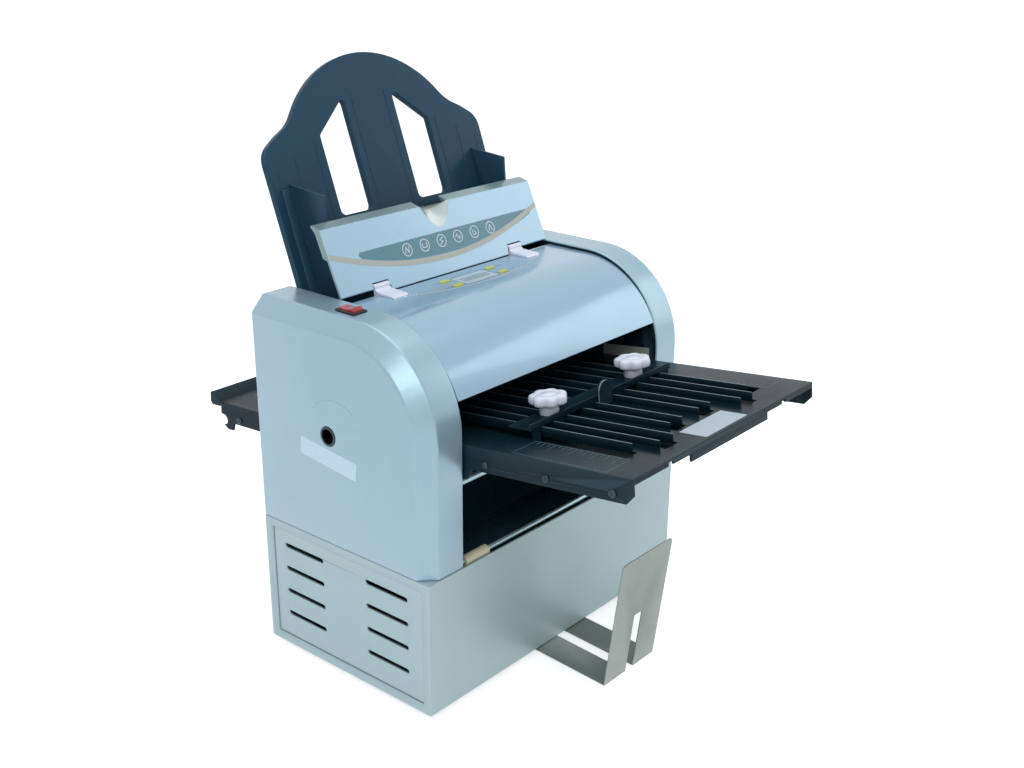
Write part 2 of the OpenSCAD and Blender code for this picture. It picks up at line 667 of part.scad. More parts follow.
// One side guide: s is its side, and up is 1 where its rack runs above the pinion, else -1.
module guide(s, up) {
    // wall
    slab(s > 0 ? guide_x : -guide_x - guide_t, s > 0 ? guide_x + guide_t : -guide_x)
        polygon([[-0.4, guide_low], [-0.4, guide_h], [-guide_out, guide_h - 17.2],
            [guide_notch - guide_out, guide_h - 36], [guide_notch - guide_out, 12],
            [9 - guide_out, -14], [13 - guide_out, guide_low]]);
    // foot on the tray
    on_tray(0.4, 2.4) translate([s * (guide_x + foot_len / 2 + 1), (foot_z[0] + foot_z[1]) / 2])
        square([foot_len, foot_z[1] - foot_z[0]], center = true);
    // neck through the slot
    on_tray(rack_back[0], 2.4) translate([s * neck_c, rack_c])
        square([2 * neck_half, guide_slot_h - 1.5], center = true);
    // rack behind the tray
    on_tray(rack_back[0], rack_back[1]) {
        bar_low = up > 0 ? rack_c + rack_r + rack_set : rack_c - rack_r - rack_set - rack_bar;
        translate([s > 0 ? -rack_in : -neck_c - neck_half, bar_low])
            square([rack_in + neck_c + neck_half, rack_bar]);
        translate([s * neck_c - neck_half, up > 0 ? rack_c : rack_c - rack_r - 4])
            square([2 * neck_half, rack_r + 4]);
        for (i = [-1:6]) translate([s * rack_m * PI * i, rack_c + up * rack_r])
            polygon([for (q = tooth_2d) [q[0], up * q[1]]]);
    }
}
module left_guide() color(tray_blue) placed() tray_frame() guide(-1, 1);
module right_guide() color(tray_blue) placed() tray_frame() guide(1, -1);
// A gap of the pinion faces each rack, whose middle tooth is at the tray's centre line.
module guide_pinion() color(gear_white) placed() tray_frame()
    translate([0, tray_t + 0.6, rack_c]) rotate([-90, 0, 0]) difference() {
        rotate(90 + 180 / rack_teeth) linear_extrude(4) polygon(gear_outline(rack_teeth, rack_m));
        translate([0, 0, -eps]) cylinder(r = 3 + run, h = 10);
    }

// Fixed plate that carries the tray's foot and guides the sheets down to the first nip
back_low = -86;
module hopper_back() color(satin_black) placed() tray_frame() {
    slab(-tray_half, tray_half)
        polygon([[tray_t + 0.1, -6], [tray_t + 2.1, -6], [tray_t + 2.1, back_low], [0, back_low],
            [0, tray_low - 0.1], [tray_t + 0.1, tray_low - 0.1]]);
}
pad_z = -66;
module separator_pad() color(rubber_black) placed() tray_frame()
    for (x = tyre_places) translate([x, 0, pad_z])
        box([-tyre_w / 2 - 2, -pad_t, -pad_half], [tyre_w / 2 + 2, 0, pad_half]);
pad_t = 0.8;
pad_half = 12;
tyre_places = [-30, 30];
tyre_w = 26;

// ---- Side frames, rods and bushes ----
frame_in = wall + 0.3;
rod_places = [[support1_y, under_plate1(support1_y)], [support2_y, under_plate1(support2_y)],
    [support3_y, under_plate2(support3_y)], [support4_y, under_plate2(support4_y)],
    low_tie, high_tie];
bush_places = [r1, r2, r3, r4, feed_c];
module frame_2d() difference() {
    union() {
        translate([cover_front + frame_in, base_top]) square([base_d - 0.7 - 2 * frame_in, band_z - base_top]);
        intersection() {
            translate([band_y, band_z]) circle(r = band_r - frame_in, $fn = 120);
            translate([band_y - 2 * band_r, band_z]) square(2 * band_r);
        }
        translate([band_y, band_z - 1]) square([base_back - frame_in - band_y, cover_top - frame_in - band_z + 1]);
    }
    for (p = bush_places) translate(p) circle(r = bush_r + 0.02);
    for (p = rod_places) translate(p) circle(r = support_r - 1 + 0.02, $fn = 32);
    translate([exit_rod_y, exit_rod_z]) circle(r = exit_rod_r + 0.02, $fn = 32);
}
module left_side_frame() color(satin_black) placed() slab(left_in - frame_t, left_in) frame_2d();
module right_side_frame() color(satin_black) placed() slab(right_in, right_in + frame_t) difference() {
    frame_2d();
    translate(pinion_c) circle(r = motor_boss_r + 0.1);
    translate(idler_c) circle(r = stud_r + 0.02, $fn = 32);
}
module support_rods() color(steel) placed() for (p = rod_places) {
    rod(left_in, right_in, p, support_r);
    rod(left_in - frame_t - 1, left_in, p, support_r - 1);
    rod(right_in, right_in + frame_t + 1, p, support_r - 1);
}
module roller_bushes() color([0.72, 0.6, 0.36]) placed()
    for (p = bush_places, s = [0, 1]) difference() {
        x0 = s == 0 ? left_in - frame_t : right_in;
        union() {
            rod(x0, x0 + frame_t, p, bush_r);
            rod(s == 0 ? x0 - bush_flange_t : x0 + frame_t, s == 0 ? x0 : x0 + frame_t + bush_flange_t,
                p, bush_flange_r);
        }
        rod(x0 - 5, x0 + 10, p, journal_r + run);
    }

// ---- Rollers and drive ----
roller_end = 0.6;
left_journal = left_in - frame_t - bush_flange_t - 1.5;
module fold_roller(c, turn, left_end) {
    rod(left_in + roller_end, right_in - roller_end, c, roller_r);
    rod(left_end, gear_x + gear_w, c, journal_r);
    gear(roller_teeth, c, turn, gear_x, gear_w);
}
crank_shaft_end = -base_w / 2 + crank_bush_len + 8;
module fold_roller_1() color(steel) placed() fold_roller(r1, phase1, crank_shaft_end);
module fold_roller_2() color(steel) placed() fold_roller(r2, phase2, left_journal);
module fold_roller_3() color(steel) placed() fold_roller(r3, phase3, left_journal);
module fold_roller_4() color(steel) placed() fold_roller(r4, phase4, left_journal);

module feed_shaft() color(steel) placed() {
    rod(left_journal, gear_x + gear_w, feed_c, journal_r);
    gear(feed_teeth, feed_c, feed_phase, gear_x, gear_w);
}
module feed_tyres() color(rubber_black) placed() for (x = tyre_places) difference() {
    rod(path_x + x - tyre_w / 2, path_x + x + tyre_w / 2, feed_c, tyre_d / 2);
    rod(path_x + x - tyre_w, path_x + x + tyre_w, feed_c, journal_r + 0.02);
}
stud_r = 4;
module idler_gear() color(gear_white) placed() difference() {
    gear(idler_teeth, idler_c, idler_phase, gear_x, gear_w);
    rod(gear_x - eps, gear_x + gear_w + eps, idler_c, stud_r + run);
}
motor_r = 17;
motor_len = 62;
motor_boss_r = 6;
motor_shaft_r = 2.5;
module drive_motor() color([0.5, 0.53, 0.56]) placed() {
    difference() {
        union() {
            rod(right_in - motor_len, right_in, pinion_c, motor_r);
            rod(right_in, right_in + frame_t, pinion_c, motor_boss_r);
        }
        rod(right_in - 25, right_in + frame_t + eps, pinion_c, motor_shaft_r + run);
    }
    // stud that carries the idler
    rod(right_in, gear_x + gear_w + 1, idler_c, stud_r);
}
module motor_pinion() color(steel) placed() {
    rod(right_in - 24, gear_x + gear_w, pinion_c, motor_shaft_r);
    gear(pinion_teeth, pinion_c, pinion_phase, gear_x, gear_w);
}

// ---- Exit rod ----
module exit_rod() color(steel) placed()
    rod(left_in - frame_t - 1, right_in + frame_t + 1, [exit_rod_y, exit_rod_z], exit_rod_r);
module sleeve(x0) color(cream) placed() difference() {
    rod(x0, x0 + sleeve_len, [exit_rod_y, exit_rod_z], sleeve_r);
    rod(x0 - eps, x0 + sleeve_len + eps, [exit_rod_y, exit_rod_z], exit_rod_r + run);
}
sleeve_play = 0.5;
module left_sleeve() sleeve(left_in + sleeve_play + 6);
module right_sleeve() sleeve(right_in - sleeve_play - 6 - sleeve_len);

// ---- Fold plates ----
// A plate's own frame: x across, y outward along its face, z up from the face.
module plate1_frame()
    translate([path_x, base_front, plate1_z]) rotate([0, 0, 180]) rotate([plate1_tilt, 0, 0]) children();
module plate2_frame() translate([path_x, base_back, plate2_z]) rotate([-plate2_tilt, 0, 0]) children();

module plate_sheet(s0, s1, slots, back) difference() {
    box([-plate_half, s0, -sheet], [plate_half, s1, 0]);
    for (q = slots, s = [-1, 1])
        box([min(s * q[0], s * q[1]), -back, -sheet - eps], [max(s * q[0], s * q[1]), q[2], eps]);
}
module plate_fins(slots, back) for (q = slots, s = [-1, 1]) {
    x_in = s > 0 ? q[0] - fin_t : -q[0];
    box([x_in, -back + 6, 0], [x_in + fin_t, q[2] - fin_set, fin_h]);
    x_out = s > 0 ? q[1] : -q[1] - fin_t;
    if (q[3]) box([x_out, -back + 6, 0], [x_out + fin_t, q[2] - fin_set, fin_h]);
}
module screw_holes(places) for (s = places)
    rod(-plate_half - eps, plate_half + eps, [s, -screw_depth], screw_r + run);

front_screws = [18, plate1_out / 2 - 0.75, plate1_out - 18.5];
rear_screws = [20, plate2_out - 25.3];
lip_h = 3;
lip_deep = 9;
lip_deep_half = 55;
lip_notch_x = 81;
module front_plate_upper() color(satin_black) placed() plate1_frame() {
    plate_sheet(-plate1_in, plate1_out, front_slots, slot_back);
    plate_fins(front_slots, slot_back);
    for (s = [-1, 1]) difference() {
        slab(s > 0 ? plate_half - sheet : -plate_half, s > 0 ? plate_half : -plate_half + sheet)
            polygon([[-plate1_in, -sheet], [-plate1_in, -deep_flange], [-2, -deep_flange], [4, -flange_h],
                [plate1_out - 7, -flange_h], [plate1_out, -flange_h + 7], [plate1_out, -sheet]]);
        screw_holes(front_screws);
    }
    difference() {
        union() {
            box([-plate_half, plate1_out - sheet, -sheet - lip_h], [plate_half, plate1_out, -sheet]);
            box([-lip_deep_half, plate1_out - sheet, -sheet - lip_deep], [lip_deep_half, plate1_out, -sheet]);
        }
        for (s = [-1, 1]) box([s * lip_notch_x - 3, plate1_out - sheet - eps, -sheet - lip_h - eps],
            [s * lip_notch_x + 3, plate1_out + eps, -sheet]);
    }
}
module lower_sheet(s0, s1, places) difference() {
    x = plate_half - sheet;
    union() {
        box([-x, s0, -channel - lower_t], [x, s1, -channel]);
        for (s = [-1, 1]) box([s > 0 ? x - lower_t : -x, s0, -channel - lower_skirt],
            [s > 0 ? x : -x + lower_t, s1, -channel]);
    }
    screw_holes(places);
}
module front_plate_lower() color(satin_black) placed() plate1_frame()
    lower_sheet(-plate1_in, plate1_out - sheet - 12, front_screws);
module plate_screws(places) for (s = places, k = [-1, 1]) mirror([k < 0 ? 1 : 0, 0, 0]) {
    rod(plate_half, plate_half + screw_head_t - 0.4, [s, -screw_depth], screw_head_r);
    rod(plate_half - sheet - lower_t - 1, plate_half, [s, -screw_depth], screw_r);
}
module front_plate_screws() color(steel) placed() plate1_frame() plate_screws(front_screws);

// The rear plate's turned-up lip, joined to the sheet over its first millimetre
lip_top = [13.7, 7.3];
lip_low = 4.7;
lip_2d = [[plate2_out - 1, 0], [plate2_out, 0], [plate2_out + lip_top[0], lip_top[1]],
    [plate2_out + lip_out, -1.9], [plate2_out + lip_out - 2.5, -lip_low], [plate2_out + 2, -lip_low],
    [plate2_out, -sheet], [plate2_out - 1, -sheet]];
module rear_plate_upper() color(satin_black) placed() plate2_frame() {
    plate_sheet(-plate2_in, plate2_out, rear_slots, rear_slot_back);
    plate_fins(rear_slots, rear_slot_back);
    for (s = [-1, 1]) difference() {
        slab(s > 0 ? plate_half - sheet : -plate_half, s > 0 ? plate_half : -plate_half + sheet) difference() {
            polygon([[-plate2_in, -sheet], [-plate2_in, -flange2_h], [plate2_out - 16.3, -flange2_h],
                [plate2_out - 14, -25.4], [plate2_out - 6.4, -25.4], [plate2_out - 2, -21.8],
                [plate2_out + 1.2, -12.7], [plate2_out, -sheet]]);
            translate([plate2_out - 2, -16.6]) circle(r = 5, $fn = 32);
            translate([plate2_out - 2, -21.6]) square([12, 10]);
        }
        screw_holes(rear_screws);
    }
    slab(-plate_half, plate_half) polygon(lip_2d);
}
module rear_plate_lower() color(satin_black) placed() plate2_frame()
    lower_sheet(-plate2_in, plate2_out - 14, rear_screws);
module rear_plate_screws() color(steel) placed() plate2_frame() plate_screws(rear_screws);

// ---- Stop bars and knobs ----
bar_z = fin_h + 0.2;
bar_t = 1.6;
tooth_half = 4.5;
tab_r = 8.5;
tab_rise = 1.5;
knob_s = stop_s - 12;
nut_t = 1.9;
module stop_bar(slots) {
    difference() {
        union() {
            box([-stop_half, stop_s - stop_foot, bar_z], [stop_half, stop_s, bar_z + bar_t]);
            box([-stop_half, stop_s - bar_t, bar_z], [stop_half, stop_s, stop_h]);
            translate([0, stop_s, 0]) rotate([90, 0, 0]) linear_extrude(bar_t) {
                translate([-tab_r, bar_z]) square([2 * tab_r, stop_h + tab_rise - bar_z]);
                translate([0, stop_h + tab_rise]) circle(r = tab_r);
            }
            for (q = slots, s = [-1, 1]) {
                c = s * (q[0] + q[1]) / 2;
                box([c - tooth_half, stop_s - bar_t, -channel + 0.2], [c + tooth_half, stop_s, bar_z + 0.1]);
            }
        }
        for (s = [-1, 1]) translate([s * knob_x, knob_s, -20]) cylinder(r = clamp_d / 2 + run, h = 50);
    }
    // nuts under the sheet
    for (s = [-1, 1]) translate([s * knob_x, knob_s, -sheet - 0.3 - nut_t]) difference() {
        translate([-13, -7, 0]) cube([26, 14, nut_t]);
        translate([0, 0, -1]) cylinder(r = clamp_d / 2 + run, h = 5);
    }
}
knob_lobes = 7;
module knob() translate([0, knob_s, 0]) {
    stem_z = bar_z + bar_t + 0.1;
    translate([0, 0, -sheet - 0.3 - nut_t]) cylinder(r = clamp_d / 2, h = 20);
    translate([0, 0, stem_z]) cylinder(r = 8, h = knob_top - knob_head - stem_z);
    translate([0, 0, knob_top - knob_head]) linear_extrude(knob_head) {
        circle(r = knob_d / 2 - 3.2);
        for (i = [0:knob_lobes - 1]) rotate(360 * i / knob_lobes)
            translate([knob_d / 2 - 4.6, 0]) circle(r = 4.6, $fn = 32);
    }
}
module front_stop_bar() color(satin_black) placed() plate1_frame() stop_bar(front_slots);
// The front plate's frame faces the user, so its own +x is the machine's left.
module front_knob_left() color(white) placed() plate1_frame() translate([knob_x, 0, 0]) knob();
module front_knob_right() color(white) placed() plate1_frame() translate([-knob_x, 0, 0]) knob();
module rear_stop_bar() color(satin_black) placed() plate2_frame() stop_bar(rear_slots);
module rear_knob_left() color(white) placed() plate2_frame() translate([-knob_x, 0, 0]) knob();
module rear_knob_right() color(white) placed() plate2_frame() translate([knob_x, 0, 0]) knob();

// ---- Stacker ----
stacker_x = path_x - 1.5;
screw_y = base_front + 52;
shoulder_thread_r = 2.5;
floor_z = foot_h - 0.6 - stacker_t;
floor_end = base_front + stacker_in_len;
slot_end = floor_end - 8;
floor_bend = base_front - 2;
upright_lean = 7;
corner_r = 5;
stacker_front = base_front - stacker_out;
stacker_up = [-sin(upright_lean), cos(upright_lean)];
stacker_in = [cos(upright_lean), sin(upright_lean)];
stacker_edge = [stacker_front, 0.3];
over = 5;
module stacker_slot_cut(from_y, to_y, from_z, to_z)
    box([stacker_x - stacker_slot / 2, from_y, from_z], [stacker_x + stacker_slot / 2, to_y, to_z]);
// The bent sheet seen along X, with its upright left long
module stacker_profile() polygon([stacker_edge, [floor_bend, floor_z], [floor_end, floor_z],
    [floor_end, floor_z + stacker_t], [floor_bend, floor_z + stacker_t], stacker_edge + [stacker_t, stacker_t],
    stacker_edge + (stacker_h + over) * stacker_up + stacker_t * stacker_in,
    stacker_edge + (stacker_h + over) * stacker_up]);
// The sheet seen from the front, with its rounded upper corners
module stacker_outline() {
    translate([stacker_x - stacker_w / 2, -over]) square([stacker_w, over + stacker_h - corner_r]);
    translate([stacker_x - stacker_w / 2 + corner_r, 0]) square([stacker_w - 2 * corner_r, stacker_h]);
    for (s = [-1, 1]) translate([stacker_x + s * (stacker_w / 2 - corner_r), stacker_h - corner_r])
        circle(r = corner_r);
}
module stacker() color([0.55, 0.57, 0.55]) placed() difference() {
    intersection() {
        slab(stacker_x - stacker_w, stacker_x + stacker_w) stacker_profile();
        translate([0, floor_end + over, 0]) rotate([90, 0, 0])
            linear_extrude(floor_end - stacker_front + stacker_h) stacker_outline();
    }
    stacker_slot_cut(stacker_front - over, slot_end, -over, foot_h);
    stacker_slot_cut(stacker_front - 4 * over, stacker_front + over, 1, slot_up);
}
module stacker_screw() color(steel) placed() translate([stacker_x, screw_y, 0]) {
    translate([0, 0, floor_z - 0.1 - 2]) cylinder(r = 9, h = 2);
    translate([0, 0, floor_z - 0.1]) cylinder(r = stacker_slot / 2 - 0.4, h = foot_h - floor_z + 0.1);
    translate([0, 0, foot_h]) cylinder(r = shoulder_thread_r, h = plate_t + 4);
}

// ---- Electrics ----
supply = [95, 70, 42];
module power_supply() color([0.6, 0.62, 0.64]) placed()
    translate([-base_w / 2 + 60, -supply[1] / 2, foot_h + plate_t]) cube(supply);
module mains_inlet() color(rubber_black) placed() difference() {
    union() {
        box([inlet_x - inlet_w / 2, base_back - wall - 14, inlet_z - inlet_h / 2],
            [inlet_x + inlet_w / 2, base_back, inlet_z + inlet_h / 2]);
        box([inlet_x - inlet_w / 2 - 2.5, base_back, inlet_z - inlet_h / 2 - 2.5],
            [inlet_x + inlet_w / 2 + 2.5, base_back + 1.5, inlet_z + inlet_h / 2 + 2.5]);
    }
    box([inlet_x - 11.8, base_back - wall - 12, inlet_z - 7.8], [inlet_x + 11.8, base_back + 3, inlet_z + 7.8]);
}

base_shell();
bottom_plate();
rubber_feet();
vent_panel();
exit_deck();
left_end_cover();
right_end_cover();
rear_cover();
front_hood();
display_window();
control_board();
start_key();
stop_key();
plus_key();
minus_key();
lid_hinges();
hinge_pins();
hopper_lid();
paper_tray();
left_guide();
right_guide();
guide_pinion();
hopper_back();
left_side_frame();
right_side_frame();
support_rods();
roller_bushes();
fold_roller_1();
fold_roller_2();
fold_roller_3();
fold_roller_4();
feed_shaft();
feed_tyres();
separator_pad();
idler_gear();
drive_motor();
motor_pinion();
exit_rod();
left_sleeve();
right_sleeve();
front_plate_upper();
front_plate_lower();
front_plate_screws();
front_stop_bar();
front_knob_left();
front_knob_right();
rear_plate_upper();
rear_plate_lower();
rear_plate_screws();
rear_stop_bar();
rear_knob_left();
rear_knob_right();
stacker();
stacker_screw();
power_supply();
mains_inlet();
switch_bezel();
power_rocker();
crank_bush();
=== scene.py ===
import json
import math

import bmesh
import bpy
from mathutils import Matrix, Vector

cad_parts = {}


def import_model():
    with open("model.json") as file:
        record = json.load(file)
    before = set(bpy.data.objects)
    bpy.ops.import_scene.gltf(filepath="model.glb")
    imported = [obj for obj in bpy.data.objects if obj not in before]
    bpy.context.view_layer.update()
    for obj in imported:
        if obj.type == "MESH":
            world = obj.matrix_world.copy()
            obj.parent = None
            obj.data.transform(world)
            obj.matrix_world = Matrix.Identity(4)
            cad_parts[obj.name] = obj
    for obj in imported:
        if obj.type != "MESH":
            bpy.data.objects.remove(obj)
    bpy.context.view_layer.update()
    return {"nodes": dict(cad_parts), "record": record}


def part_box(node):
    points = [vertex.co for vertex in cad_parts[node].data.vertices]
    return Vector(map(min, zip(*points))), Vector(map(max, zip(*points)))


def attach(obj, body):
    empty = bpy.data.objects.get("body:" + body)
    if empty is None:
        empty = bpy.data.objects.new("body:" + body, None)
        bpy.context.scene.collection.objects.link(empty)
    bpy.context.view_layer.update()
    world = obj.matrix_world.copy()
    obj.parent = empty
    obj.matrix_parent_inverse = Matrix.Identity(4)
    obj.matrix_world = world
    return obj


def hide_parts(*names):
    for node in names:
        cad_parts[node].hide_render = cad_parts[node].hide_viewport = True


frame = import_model()
nodes = frame["nodes"]

# ---------------------------------------------------------------- sizes, in metres
MM = 0.001
DESK = 0.0
BODY_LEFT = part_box("base_shell")[0].x
BASE_FRONT, BASE_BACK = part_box("base_shell")[0].y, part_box("base_shell")[1].y
SHIFT_Y = (BASE_FRONT + BASE_BACK) / 2
COVER_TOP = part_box("left_end_cover")[1].z
LEFT_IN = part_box("left_end_cover")[1].x
RIGHT_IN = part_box("right_end_cover")[0].x
PATH_X = (LEFT_IN + RIGHT_IN) / 2
HOOD_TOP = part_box("front_hood")[1].z
LID_LEAN = math.radians(23.9)
LID_FOOT = Vector((PATH_X, SHIFT_Y + 33.5 * MM, HOOD_TOP + 4.1 * MM))
LID_H = 56.7 * MM
TRAY_LEAN = math.radians(20.1)
PLATE1_TILT = math.radians(6.45)
PLATE1_Z = 231 * MM
PLATE2_TILT = math.radians(3.7)
PLATE2_Z = 195.5 * MM
PLATE_HALF = 128.3 * MM
# Each knob's distance from the plate's middle line, and out from the body
KNOB_X = 57 * MM
KNOB_OUT = 26 * MM
# Thicknesses of printed film, stuck labels and ink strokes
FILM = 0.12 * MM
LABEL_FILM = 0.15 * MM
INK_H = 0.06 * MM

# The camera that took the photo, solved from its vanishing points
CAMERA = Vector((-0.8038, -0.7150 + SHIFT_Y, 0.6254))
CAMERA_AZ = math.radians(-49.96)
CAMERA_EL = math.radians(21.57)
CAMERA_ROLL = math.radians(0.41)
SENSOR = 36.0
FOCAL_PX = 1305.0
IMAGE_W = 1024.0
SHIFT_IMG = (-0.00098, 0.0221)


# ---------------------------------------------------------------- node helpers
def srgb(r, g, b):
    """A colour given as 0-255 screen values, in the linear values that shaders take."""
    def lin(v):
        v = v / 255.0
        return v / 12.92 if v <= 0.04045 else ((v + 0.055) / 1.055) ** 2.4
    return (lin(r), lin(g), lin(b), 1.0)


PLASTIC_IOR = 1.45


class Mat:
    """A material being built: its node tree and its Principled shader."""

    def __init__(self, name, base, rough, metallic=0.0, coat=0.0, coat_rough=0.05, spec=0.5):
        self.mat = bpy.data.materials.new(name)
        self.mat.use_nodes = True
        self.tree = self.mat.node_tree
        self.bsdf = self.tree.nodes["Principled BSDF"]
        s = self.bsdf.inputs
        s["Base Color"].default_value = base
        s["Roughness"].default_value = rough
        s["Metallic"].default_value = metallic
        s["Coat Weight"].default_value = coat
        s["Coat Roughness"].default_value = coat_rough
        s["Specular IOR Level"].default_value = spec
        s["IOR"].default_value = PLASTIC_IOR
        self.normal = None

    def node(self, kind, **values):
        n = self.tree.nodes.new(kind)
        for key, value in values.items():
            if key in n.inputs:
                n.inputs[key].default_value = value
            else:
                setattr(n, key, value)
        return n

    def link(self, a, b):
        self.tree.links.new(a, b)

    def coords(self, scale):
        tc = self.node("ShaderNodeTexCoord")
        mp = self.node("ShaderNodeMapping", Scale=scale)
        self.link(tc.outputs["Object"], mp.inputs["Vector"])
        return mp.outputs["Vector"]

    def noise(self, scale, detail=3.0, rough=0.5, stretch=(1, 1, 1)):
        n = self.node("ShaderNodeTexNoise", Scale=scale, Detail=detail, Roughness=rough)
        self.link(self.coords(stretch), n.inputs["Vector"])
        return n.outputs["Fac"]

    def ramp(self, fac, low, high, lo_pos=0.35, hi_pos=0.65):
        """Maps a factor between two positions to low and high."""
        r = self.node("ShaderNodeMapRange")
        self.link(fac, r.inputs["Value"])
        r.inputs["From Min"].default_value = lo_pos
        r.inputs["From Max"].default_value = hi_pos
        r.inputs["To Min"].default_value = low
        r.inputs["To Max"].default_value = high
        return r.outputs["Result"]

    def tint(self, fac, other):
        """Mixes the colour so far with another by a factor."""
        mix = self.node("ShaderNodeMix", data_type="RGBA")
        src = self.bsdf.inputs["Base Color"]
        if src.is_linked:
            self.link(src.links[0].from_socket, mix.inputs[6])
        else:
            mix.inputs[6].default_value = src.default_value
        mix.inputs[7].default_value = other
        self.link(fac, mix.inputs[0])
        self.link(mix.outputs[2], src)

    def rough_by(self, fac, low, high):
        """Lets the roughness run from low to high with a factor."""
        self.link(self.ramp(fac, low, high, 0.3, 0.7), self.bsdf.inputs["Roughness"])

    def bump(self, fac, strength, distance):
        """Adds a bump on top of those so far."""
        b = self.node("ShaderNodeBump", Strength=strength, Distance=distance)
        self.link(fac, b.inputs["Height"])
        if self.normal is not None:
            self.link(self.normal, b.inputs["Normal"])
        self.normal = b.outputs["Normal"]
        self.link(self.normal, self.bsdf.inputs["Normal"])

    def painted_edge_highlight(self, colour, amount):
        """Paints a lighter colour on sharp outer edges as a painted highlight."""
        g = self.node("ShaderNodeNewGeometry")
        painted_highlight = self.ramp(g.outputs["Pointiness"], 0.0, amount, 0.53, 0.6)
        self.tint(painted_highlight, colour)


# ---------------------------------------------------------------- materials
def make_silver():
    m = Mat("pearl_silver_paint", srgb(150, 181, 195), 0.34,
            metallic=0.4, coat=0.3, coat_rough=0.18)
    m.tint(m.ramp(m.noise(900, 2), 0, 0.2), srgb(170, 196, 208))
    m.tint(m.ramp(m.noise(9, 4), 0, 0.25), srgb(143, 174, 190))
    m.rough_by(m.noise(35, 4), 0.29, 0.38)
    m.bump(m.noise(1400, 2), 0.10, 0.00004)
    m.bump(m.noise(160, 2), 0.05, 0.0001)
    # painted highlight: lighter colour on sharp outer edges
    m.painted_edge_highlight(srgb(205, 214, 220), 0.5)
    return m.mat


def make_base_paint():
    m = Mat("base_grey_paint", srgb(162, 186, 190), 0.42, metallic=0.35, coat=0.15, coat_rough=0.3)
    m.tint(m.ramp(m.noise(1100, 2), 0, 0.3), srgb(180, 201, 204))
    m.tint(m.ramp(m.noise(7, 4), 0, 0.25), srgb(154, 179, 184))
    m.rough_by(m.noise(30, 4), 0.36, 0.47)
    m.bump(m.noise(700, 3, 0.6), 0.22, 0.00006)
    # painted highlight: lighter colour on sharp outer edges
    m.painted_edge_highlight(srgb(206, 214, 216), 0.4)
    return m.mat


def make_hood():
    m = Mat("hood_gloss_plastic", srgb(148, 181, 202), 0.18,
            metallic=0.3, coat=0.5, coat_rough=0.05)
    m.tint(m.ramp(m.noise(1300, 2), 0, 0.12), srgb(166, 195, 213))
    m.tint(m.ramp(m.noise(6, 3), 0, 0.2), srgb(141, 175, 198))
    m.rough_by(m.noise(25, 4), 0.16, 0.25)
    m.bump(m.noise(14, 2), 0.03, 0.0004)
    m.bump(m.noise(1500, 2), 0.05, 0.00003)
    return m.mat


def make_lid_face():
    m = Mat("lid_gloss_plastic", srgb(160, 193, 212), 0.24, metallic=0.2, coat=0.4, coat_rough=0.08)
    m.tint(m.ramp(m.noise(1300, 2), 0, 0.12), srgb(176, 205, 221))
    m.tint(m.ramp(m.noise(6, 3), 0, 0.2), srgb(154, 188, 209))
    m.rough_by(m.noise(12, 3), 0.22, 0.28)
    m.bump(m.noise(1500, 2), 0.02, 0.00003)
    return m.mat


# darker grey-green copy of the lid plastic: painted reflection of the dark tray on the lid's top
# bevel and back
def make_lid_painted_reflection():
    m = Mat("lid_painted_tray_reflection", srgb(122, 148, 150), 0.25, metallic=0.25, coat=0.4, coat_rough=0.1)
    m.tint(m.ramp(m.noise(1200, 2), 0, 0.25), srgb(142, 166, 168))
    m.rough_by(m.noise(25, 4), 0.2, 0.32)
    m.bump(m.noise(1500, 2), 0.05, 0.00003)
    return m.mat


def make_scoop():
    m = Mat("lid_scoop_pearl", srgb(196, 206, 204), 0.24, metallic=0.25, coat=0.5, coat_rough=0.08)
    m.tint(m.ramp(m.noise(40, 3), 0, 0.4), srgb(178, 192, 190))
    m.rough_by(m.noise(30, 4), 0.18, 0.3)
    m.bump(m.noise(1500, 2), 0.05, 0.00003)
    return m.mat


def make_black():
    m = Mat("satin_black_coat", srgb(9, 29, 37), 0.22, coat=0.03, coat_rough=0.1, spec=0.11)
    m.tint(m.ramp(m.noise(12, 5), 0, 0.5), srgb(14, 37, 46))
    m.tint(m.ramp(m.noise(500, 2), 0, 0.2, 0.55, 0.8), srgb(30, 42, 50))
    m.rough_by(m.noise(22, 5), 0.2, 0.33)
    m.bump(m.noise(800, 3), 0.08, 0.00005)
    # painted highlight: lighter grey-blue on sharp outer edges
    m.painted_edge_highlight(srgb(70, 92, 104), 0.45)
    return m.mat


def make_tray_blue():
    m = Mat("tray_dark_plastic", srgb(33, 63, 81), 0.26, coat=0.03, coat_rough=0.12, spec=0.1)
    m.tint(m.ramp(m.noise(8, 4), 0, 0.4), srgb(37, 69, 89))
    m.tint(m.ramp(m.noise(650, 2), 0, 0.2, 0.5, 0.8), srgb(46, 80, 100))
    m.rough_by(m.noise(18, 4), 0.22, 0.34)
    m.bump(m.noise(900, 3), 0.1, 0.00005)
    # painted highlight: lighter colour on sharp outer edges
    m.painted_edge_highlight(srgb(72, 112, 134), 0.45)
    return m.mat


def make_white():
    m = Mat("white_moulded_plastic", srgb(228, 230, 242), 0.28, coat=0.25, coat_rough=0.12)
    m.bsdf.inputs["Subsurface Weight"].default_value = 0.12
    m.bsdf.inputs["Subsurface Radius"].default_value = (0.004, 0.004, 0.005)
    m.bsdf.inputs["Subsurface Scale"].default_value = 0.5
    m.tint(m.ramp(m.noise(20, 4), 0, 0.4), srgb(216, 219, 236))
    m.rough_by(m.noise(60, 4), 0.24, 0.36)
    m.bump(m.noise(900, 2), 0.08, 0.00004)
    return m.mat


def make_cream():
    m = Mat("cream_plastic", srgb(214, 208, 178), 0.45)
    m.tint(m.ramp(m.noise(40, 4), 0, 0.5), srgb(196, 190, 160))
    m.rough_by(m.noise(60, 3), 0.38, 0.5)
    m.bump(m.noise(700, 3), 0.15, 0.00005)
    return m.mat


